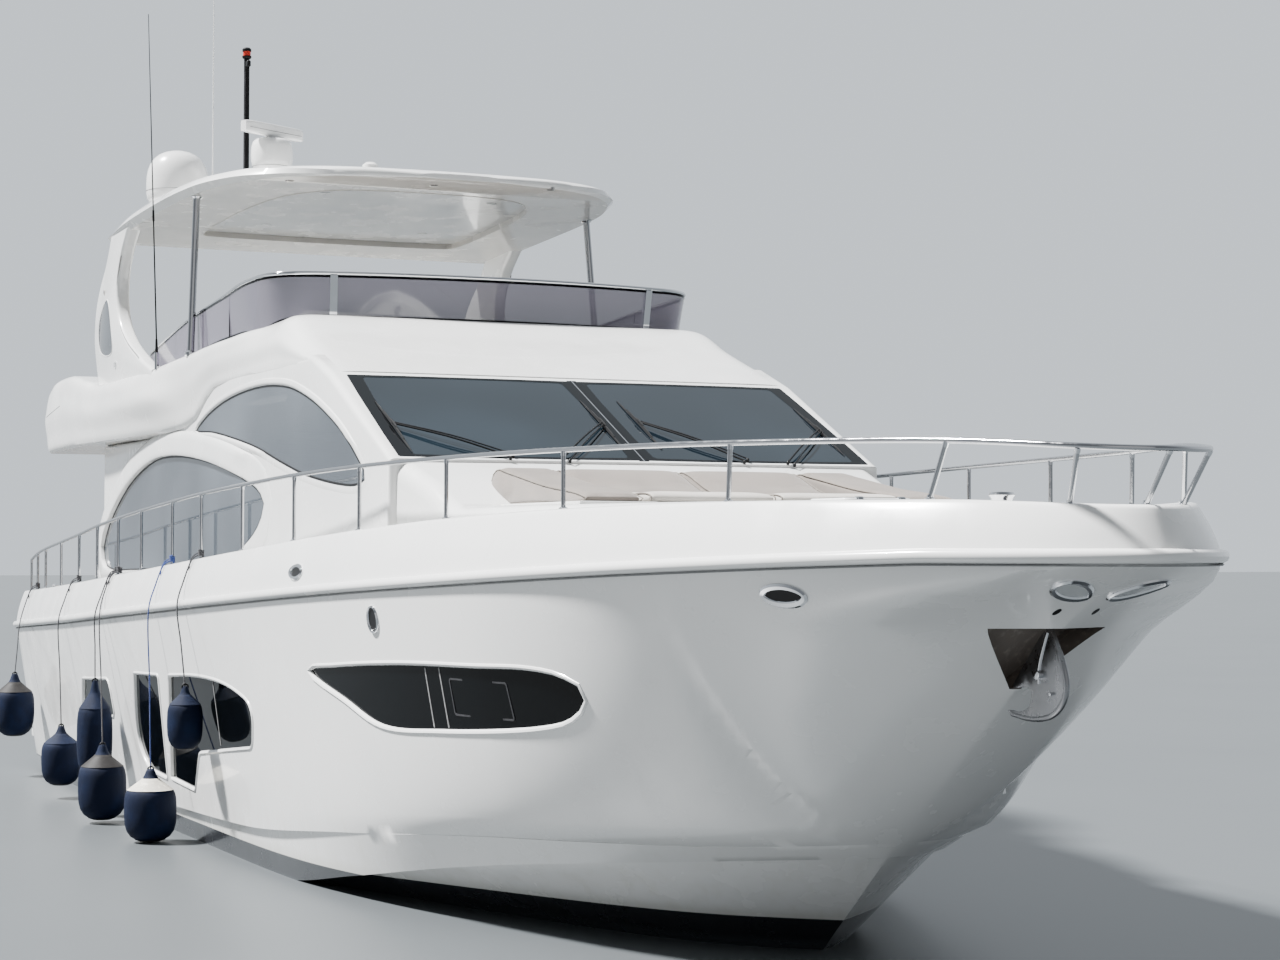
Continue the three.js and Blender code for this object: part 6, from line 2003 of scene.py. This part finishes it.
def make_sofas():
    for node, (x0, x1), (y0, y1), floor, seat_high, back_high, back_thick, count in SOFAS:
        base = Shape()
        base.add(slab(rounded_box(x0 + 0.02, x1 - 0.06, y0 + 0.03, y1 - 0.03, 0.04), on_level(floor), 0.0,
                      0.09, 0.01), M.black)
        base.add(slab(rounded_box(x0, x1, y0, y1, 0.05), on_level(floor), 0.08, seat_high - PAD_THICK,
                      0.015), M.gelcoat)
        base.add(slab(rounded_box(x0, x0 + back_thick * SHELL_SHARE, y0, y1, 0.025), on_level(floor), 0.08,
                      back_high - 0.03, 0.015), M.gelcoat)
        show(base.object(f"{node}_base"), node)
        edges = np.linspace(y0 + 0.01, y1 - 0.01, count + 1)
        for k, (a, b) in enumerate(zip(edges[:-1], edges[1:])):
            across = (a + PAD_GAP, b - PAD_GAP)
            seat = (x0 + back_thick, x1, *across, floor + seat_high - PAD_THICK + 0.002, floor + seat_high)
            back = (x0 + back_thick * SHELL_SHARE + 0.003, x0 + back_thick, *across,
                    floor + seat_high + 0.004, floor + back_high)
            padded_box(f"{node}_seat_pad_{k + 1}", seat)
            padded_box(f"{node}_back_pad_{k + 1}", back, crown=0.0, radius=0.04)


def table(node, x0, x1, y0, y1, floor, top, foot, radius):
    shape = Shape().add(slab(rounded_box(x0, x1, y0, y1, 0.12), on_level(0), top - 0.04, top, 0.01), M.teak)
    shape.add(trim(rounded_box(x0, x1, y0, y1, 0.12),
                   ((0.0, top - 0.03), (-0.001, top - 0.02), (0.0, top - 0.008), (0.03, top - 0.01),
                                                       (0.03, top - 0.03)), on_level(0)), M.teak)
    profile = ((0, 0), (0.17, 0), (0.17, 0.012), (0.1, 0.03), (radius, 0.06), (radius, top - floor - 0.1),
               (0.12, top - floor - 0.045),
               (0.12, top - floor - 0.038), (0, top - floor - 0.038))
    shape.add(lathe(profile, (*foot, floor), sides=36), M.steel)
    show(shape.object(f"{node}_shape"), node)


def wheel(centre, axis, radius):
    way = Vector(axis).normalized()
    turn = np.array(Vector((0, 0, 1)).rotation_difference(way).to_matrix())
    a = np.linspace(0, 2 * math.pi, 48, endpoint=False)
    rim = np.column_stack([radius * np.cos(a), radius * np.sin(a), 0 * a]) @ turn.T + centre
    parts = [(tube(rim, 0.014, 12, True), M.black)]
    parts.append((lathe(((0, -0.05), (0.045, -0.05), (0.045, 0.012), (0, 0.02)), centre, tuple(way), 24),
                  M.steel))
    for angle in np.radians((90, 210, 330)):
        end = np.array((radius * math.cos(angle), radius * math.sin(angle), 0)) @ turn.T + centre
        parts.append((tube([centre, end], 0.009, 10), M.steel))
    return parts


def on_slope(middle, up, out):
    """Sloping console top through (x, z): u across the boat, v up the slope."""
    return lambda u, v, depth: np.column_stack([middle[0] + v * up[0] - depth * out[0], u,
                                                middle[1] + v * up[1] + depth * out[1]])


def make_helms():
    console = ((2.7, SALOON_FLOOR_Z), (3.86, SALOON_FLOOR_Z), (3.86, 3.25), (4.1, 3.45), (4.1, 3.64),
               (3.3, 3.7), (2.9, 3.45))
    helm = Shape().add(slab(soften_corners(console, 0.05), on_side(1, 0), -1.95, 1.95, 0.03), M.walnut)
    for y in (-1.25, -0.6):
        outline = rounded_box(y - 0.27, y + 0.27, -0.16, 0.16, 0.02)
        helm.add(shell(outline, on_slope((3.1, 3.575), (0.848, 0.53), (0.53, 0.848)), -0.005, 0.012),
                 M.hull_glass)
    for part, material in wheel(np.array((2.66, -0.9, 3.2)), (-0.85, 0, 0.53), 0.2):
        helm.add(part, material)
    show(helm.object("helm_console_shape"), "helm_console")
    cabinet = Shape().add(slab(rounded_box(-5.8, -1.5, 1.75, 2.25, 0.04), on_level(0),
                               SALOON_FLOOR_Z + 0.001, 2.77, 0.01), M.walnut)
    cabinet.add(slab(rounded_box(-5.82, -1.48, 1.73, 2.26, 0.04), on_level(0), 2.765, 2.8, 0.008), M.gelcoat)
    for x in np.linspace(-5.3, -2.0, 6):
        cabinet.add(tube([(x, 1.742, 2.3), (x, 1.742, 2.5)], 0.008, 8), M.chrome)
        cabinet.add(cuboid(x + 0.34, x + 0.346, 1.7475, 1.76, 2.02, 2.74), M.black)
    show(cabinet.object("saloon_cabinet_shape"), "saloon_cabinet")
    fly_console = ((-0.7, FLY_FLOOR_Z), (-0.06, FLY_FLOOR_Z), (-0.06, 5.45), (-0.3, 5.56), (-0.7, 5.3))
    station = Shape().add(slab(soften_corners(fly_console, 0.05), on_side(1, 0), -1.5, -0.1, 0.05), M.gelcoat)
    for y in (-1.1, -0.5):
        outline = rounded_box(y - 0.2, y + 0.2, -0.13, 0.13, 0.02)
        face = on_slope((-0.5, 5.432), (0.838, 0.545), (0.545, 0.838))
        station.add(shell(outline, face, -0.005, 0.008), M.hull_glass)
    for part, material in wheel(np.array((-0.74, -0.85, 5.18)), (-0.85, 0, 0.53), 0.19):
        station.add(part, material)
    show(station.object("fly_console_shape"), "fly_console")
    table("cockpit_table", -9.5, -8.7, -0.9, 0.5, COCKPIT_SOLE_Z + 0.0005, 2.6, (-9.1, -0.2), 0.05)
    table("fly_table", -4.3, -3.4, 0.6, 1.5, FLY_FLOOR_Z + 0.0005, 5.34, (-3.85, 1.05), 0.045)


STAIR_FOOT = (-9.15, COCKPIT_SOLE_Z)
STAIR_HEAD = (-7.25, FLY_FLOOR_Z - 0.06)
TREADS = 10
STRINGERS_Y = (1.06, 1.74)


def make_stairs():
    stairs = Shape()
    for k in np.arange(1, TREADS + 1) / (TREADS + 1):
        x = STAIR_FOOT[0] + (STAIR_HEAD[0] - STAIR_FOOT[0]) * k
        z = STAIR_FOOT[1] + (STAIR_HEAD[1] - STAIR_FOOT[1]) * k
        stairs.add(slab(rounded_box(x - 0.12, x + 0.12, 1.075, 1.725, 0.02), on_level(z), -0.018, 0.02,
                        0.006), M.teak_across)
        stairs.add(slab(rounded_box(x - 0.123, x - 0.112, 1.08, 1.72, 0.004), on_level(z), -0.02, 0.022,
                        0.003), M.steel)
    side = ((STAIR_FOOT[0] - 0.1, STAIR_FOOT[1]), (STAIR_FOOT[0] + 0.16, STAIR_FOOT[1]),
            (STAIR_HEAD[0] + 0.06, STAIR_HEAD[1] - 0.06),
            (STAIR_HEAD[0] + 0.06, STAIR_HEAD[1] + 0.045), (STAIR_HEAD[0] - 0.06, STAIR_HEAD[1] + 0.045))
    for y in STRINGERS_Y:
        stairs.add(slab(soften_corners(side, 0.03), on_side(1, 0), y - 0.015, y + 0.015, 0.005), M.steel)
    for y in STRINGERS_Y:
        rail = [(-9.1, y, 1.87), (-9.08, y, 2.75), (-8.9, y, 2.98), (-8.2, y, 3.93), (-8.02, y, 4.12),
                (-7.9, y, 3.62)]
        stairs.add(tube(spline(rail, 60), 0.0125, 10), M.steel)
    show(stairs.object("fly_stairs_shape"), "fly_stairs")


# Fenders on their lines: name, centre, tie along the rail, radius, height, looks of cap and line
FENDERS = (
    ("fender_1", -1.37, -3.13, 0.388, -1.67, 0.275, 0.76, "cream_vinyl", "blue_rope"),
    ("fender_2", -3.4, -3.2, 0.455, -4.2, 0.27, 0.84, "grey_vinyl", "dark_rope"),
    ("fender_3", -4.15, -3.13, 1.0, -4.33, 0.205, 1.12, "fender", "dark_rope"),
    ("fender_4", -6.33, -3.08, 0.525, -6.63, 0.24, 0.73, "fender", "dark_rope"),
    ("fender_5", -9.6, -3.06, 0.96, -10.0, 0.265, 0.84, "grey_vinyl", "dark_rope"),
    ("fender_6", -0.12, -3.08, 1.38, -0.47, 0.18, 0.64, "fender", "dark_rope"),
)
# Half outline of a fender from its lower to its upper end, as shares of its radius and height
FENDER_BODY = ((0.0, 0.0), (0.2, 0.0), (0.36, 0.006), (0.56, 0.03), (0.76, 0.075), (0.9, 0.145),
               (0.975, 0.24), (1.0, 0.37),
               (1.0, 0.5), (0.985, 0.6), (0.94, 0.67), (0.87, 0.715))
FENDER_TOP = ((0.74, 0.75), (0.57, 0.795), (0.4, 0.84))
FENDER_NECK = ((0.31, 0.87), (0.23, 0.92), (0.18, 0.97), (0.13, 1.0), (0.0, 1.0))


LAY_TURNS = 14
KNOT_TURNS = 4
KNOT_R = 0.026


def strand_rope(points, radius):
    """Three-strand rope along points."""
    path = spline(points, max(24, int(90 * np.sum(np.linalg.norm(np.diff(points, axis=0), axis=1)))))
    run = np.r_[0, np.cumsum(np.linalg.norm(np.diff(path, axis=0), axis=1))]
    heading = np.gradient(path, axis=0)
    heading /= np.linalg.norm(heading, axis=1)[:, None]
    side = np.cross(heading, (1, 0.2, 0))
    side /= np.linalg.norm(side, axis=1)[:, None]
    other = np.cross(heading, side)
    strands = []
    for k in range(3):
        a = (2 * math.pi * (run * LAY_TURNS + k / 3))[:, None]
        strands.append(tube(path + (np.cos(a) * side + np.sin(a) * other) * radius * 0.48, radius * 0.56, 6))
    return strands


def make_fenders():
    for name, x, y, z, tie, radius, height, top_look, rope_look in FENDERS:
        half = height / 2
        fender = Shape()
        whole = FENDER_BODY + FENDER_TOP + FENDER_NECK
        points, faces = lathe([(radius * r, height * h - half) for r, h in whole], (x, y, z), sides=44)
        local = points - (x, y, z)
        angle = np.arctan2(local[:, 1], local[:, 0])
        creases = 0.004 * np.sin(7 * angle + 5 * local[:, 2]) + 0.003 * np.sin(13 * angle - 9 * local[:,
                                                                                                      2] + x)
        around = np.hypot(local[:, 0], local[:, 1])
        scale = 1 + creases * np.minimum(around / radius, 1)
        points = np.column_stack([x + local[:, 0] * scale * 0.99, y + local[:, 1] * scale * 0.99,
                                  points[:, 2]])
        fender.add((points, faces), M.fender)
        cap = len(FENDER_BODY)
        outer = [(radius * r + 0.003, height * h - half + 0.001) for r, h in whole[cap - 1:cap + 4]]
        inner = [(r - 0.012, h) for r, h in reversed(outer)]
        fender.add(lathe(outer + inner + outer[:1], (x, y, z), sides=44), getattr(M, top_look))
        # Lighter grey cap under each fender: painted highlight of light from below.
        under = [(radius * r + 0.002, height * h - half - 0.002) for r, h in FENDER_BODY[1:4]]
        highlight_cap = [(0, under[0][1])] + under + [(under[-1][0] - 0.02, under[-1][1]), (0, under[0][1] + 0.01)]
        fender.add(lathe(highlight_cap, (x, y, z), sides=44), M.worn_vinyl)
        eye = [(x, y + 0.03 * math.cos(a),
                z + half - 0.005 + 0.03 * math.sin(a)) for a in np.radians(range(0, 360, 20))]
        fender.add(tube(eye, 0.009, 8, True), M.black)
        cap_z = float(along(CAP, tie))
        over_y = -(float(half_breadth(FORMS["rub"], tie, stem_x(NOSE_Z))) + RUB_DEPTH + 0.022)
        cap_y = -(float(half_breadth(FORMS["cap"], tie, CAP_NOSE_X)) + 0.012)
        tie_y = -(float(cap_line(tie)) + RAIL_R + 0.007)
        rub_z = float(along(RUB, tie))
        line_points = [(x, y, z + half - 0.01),
                       (x * 0.6 + tie * 0.4, (y + over_y) / 2, (z + half + rub_z) / 2),
                       (tie * 0.8 + x * 0.2, over_y, rub_z),
                       (tie, (over_y + cap_y) / 2 - 0.01, (rub_z + cap_z) / 2),
                       (tie, cap_y, cap_z + 0.012), (tie, tie_y, cap_z + 0.05)]
        rope_look = getattr(M, rope_look)
        for strand in strand_rope(np.array(line_points), 0.0085):
            fender.add(strand, rope_look)
        turns = []
        for a in np.linspace(0, 2 * math.pi * KNOT_TURNS, 72):
            turns.append((tie + KNOT_R * math.cos(a), -float(cap_line(tie)) + KNOT_R * math.sin(a),
                          cap_z + 0.035 + 0.018 * a / (2 * math.pi)))
        fender.add(tube(turns, 0.0085, 8), rope_look)
        tail = [(tie - 0.02, -float(cap_line(tie)) - 0.026, cap_z + 0.07),
                (tie - 0.035, tie_y - 0.035, cap_z + 0.05),
                (tie - 0.04, cap_y - 0.02, cap_z - 0.03), (tie - 0.045, cap_y - 0.022, cap_z - 0.22)]
        for strand in strand_rope(np.array(tail), 0.0075):
            fender.add(strand, rope_look)
        show(fender.object(f"{name}_shape", 60), name)


# Running gear

SHAFT_Y = 1.0
SHAFT_R = 0.038
PROP_X = -9.3
PROP_Z = -1.3
PROP_R = 0.4
SHAFT_RISE = 0.153
SHAFT_FORE_X = -4.7
RUDDER_X = -10.05
STRUT_X = PROP_X + 0.42
BLADES = 4
LATHE_SIDES = 40
HUB = ((0, -0.22), (0.022, -0.215), (0.04, -0.19), (0.05, -0.15), (0.06, -0.13), (0.072, -0.02), (0.084, 0.1),
       (0.085, 0.13), (0, 0.13))
BORE_R = SHAFT_R + 0.0007
BARREL = ((BORE_R, -0.13), (0.066, -0.13), (0.075, -0.115), (0.075, 0.115), (0.066, 0.13), (BORE_R, 0.13))
RUDDER = ((-9.86, -0.76), (-10.13, -0.75), (-10.4, -0.74), (-10.44, -1.1), (-10.45, -1.42), (-10.33, -1.58),
          (-10.14, -1.6), (-9.95, -1.59), (-9.86, -1.35), (-9.84, -1.05))


def on_shaft(x, sign):
    return np.array((x, sign * SHAFT_Y, PROP_Z + (x - PROP_X) * SHAFT_RISE))


def blade_shell(sign):
    """One skewed propeller blade about the X axis, its root at the hub."""
    rings = []
    for t in np.linspace(0, 1, 18):
        r = 0.06 + (PROP_R - 0.06) * t
        width = 0.165 * (0.45 + 1.9 * t * (1 - t) ** 0.55 + 0.12 * t) * (1 - t ** 7) + 0.004
        pitch = math.atan2(0.28, r * 2.2)
        thick = 0.016 * (1 - t) + 0.003
        skew = 0.22 * t ** 2
        ring = []
        for s, side in [(s, 1) for s in np.linspace(-1, 1, 11)] + [(s, -1) for s in np.linspace(1, -1,
                                                                                                11)[1:-1]]:
            off = side * thick * math.sqrt(max(1 - s * s, 0)) * 0.5
            chord = s * width
            along_x = chord * math.sin(pitch) + off * math.cos(pitch)
            around = (chord * math.cos(pitch) - off * math.sin(pitch)) / r + skew
            ring.append((along_x, r * math.sin(around) * sign, r * math.cos(around)))
        rings.append(ring)
    return loft(rings)


def make_running_gear():
    tilt = math.atan(SHAFT_RISE)
    lean = np.array(((math.cos(tilt), 0, -math.sin(tilt)), (0, 1, 0), (math.sin(tilt), 0, math.cos(tilt))))
    way = tuple(lean @ (1, 0, 0))
    for side, sign in SIDES:
        gear = Shape()
        centre = on_shaft(PROP_X, sign)
        gear.add(lathe(HUB, centre, way, LATHE_SIDES), M.bronze)
        gear.add(tube([centre, on_shaft(SHAFT_FORE_X, sign)], SHAFT_R, 24), M.steel)
        for k in range(BLADES):
            a = 2 * math.pi * k / BLADES
            spin = np.array(((1, 0, 0), (0, math.cos(a), -math.sin(a)), (0, math.sin(a), math.cos(a))))
            points, faces = blade_shell(sign)
            gear.add((points @ spin.T @ lean.T + centre, faces), M.bronze)
        show(gear.object(f"propeller_{side}_shape", 40), f"propeller_{side}")
        strut = Shape()
        barrel = on_shaft(STRUT_X, sign)
        points, faces = lathe(BARREL, barrel, way, LATHE_SIDES)
        size, last = LATHE_SIDES, (len(BARREL) - 1) * LATHE_SIDES
        bore = [(i, last + i, last + (i + 1) % size, (i + 1) % size) for i in range(size)]
        strut.add((points, faces[:-2] + bore), M.bronze)
        arm = ellipse(STRUT_X, sign * SHAFT_Y, 0.07, 0.014, 28)
        strut.add(shell(arm, on_level(0), float(barrel[2]) + 0.062, -0.24), M.bronze)
        show(strut.object(f"shaft_strut_{side}_shape", 40), f"shaft_strut_{side}")
        outline = spline(RUDDER, 60, closed=True)
        rudder = Shape().add(slab(outline, on_side(sign, SHAFT_Y), -0.022, 0.022, 0.02, 6), M.bronze)
        stock = (RUDDER_X, sign * SHAFT_Y, 0)
        rudder.add(lathe(((0, -1.1), (SHAFT_R, -1.1), (SHAFT_R, -0.25), (0, -0.25)), stock, sides=28),
                   M.steel)
        rudder.add(lathe(((0, -0.8), (0.06, -0.8), (0.055, -0.755), (0, -0.755)), stock, sides=28), M.bronze)
        show(rudder.object(f"rudder_{side}_shape", 40), f"rudder_{side}")


make_hull()
make_hull_windows()
make_bow_fittings()
make_anchor()
make_bulwark()
make_rub_rail()
make_bow_rail()
make_deck_fittings()
make_house()
make_arch_bands()
make_side_windows()
make_saloon()
make_curtains()
make_windshield()
make_wipers()
make_doors()
make_garage_door()
make_swim_platform()
make_flybridge()
make_fly_trim()
make_fly_screen()
make_hardtop()
make_legs()
make_posts()
make_masthead_gear()
make_trunk()
make_sunpad()
make_sofas()
make_helms()
make_stairs()
make_fenders()
make_running_gear()
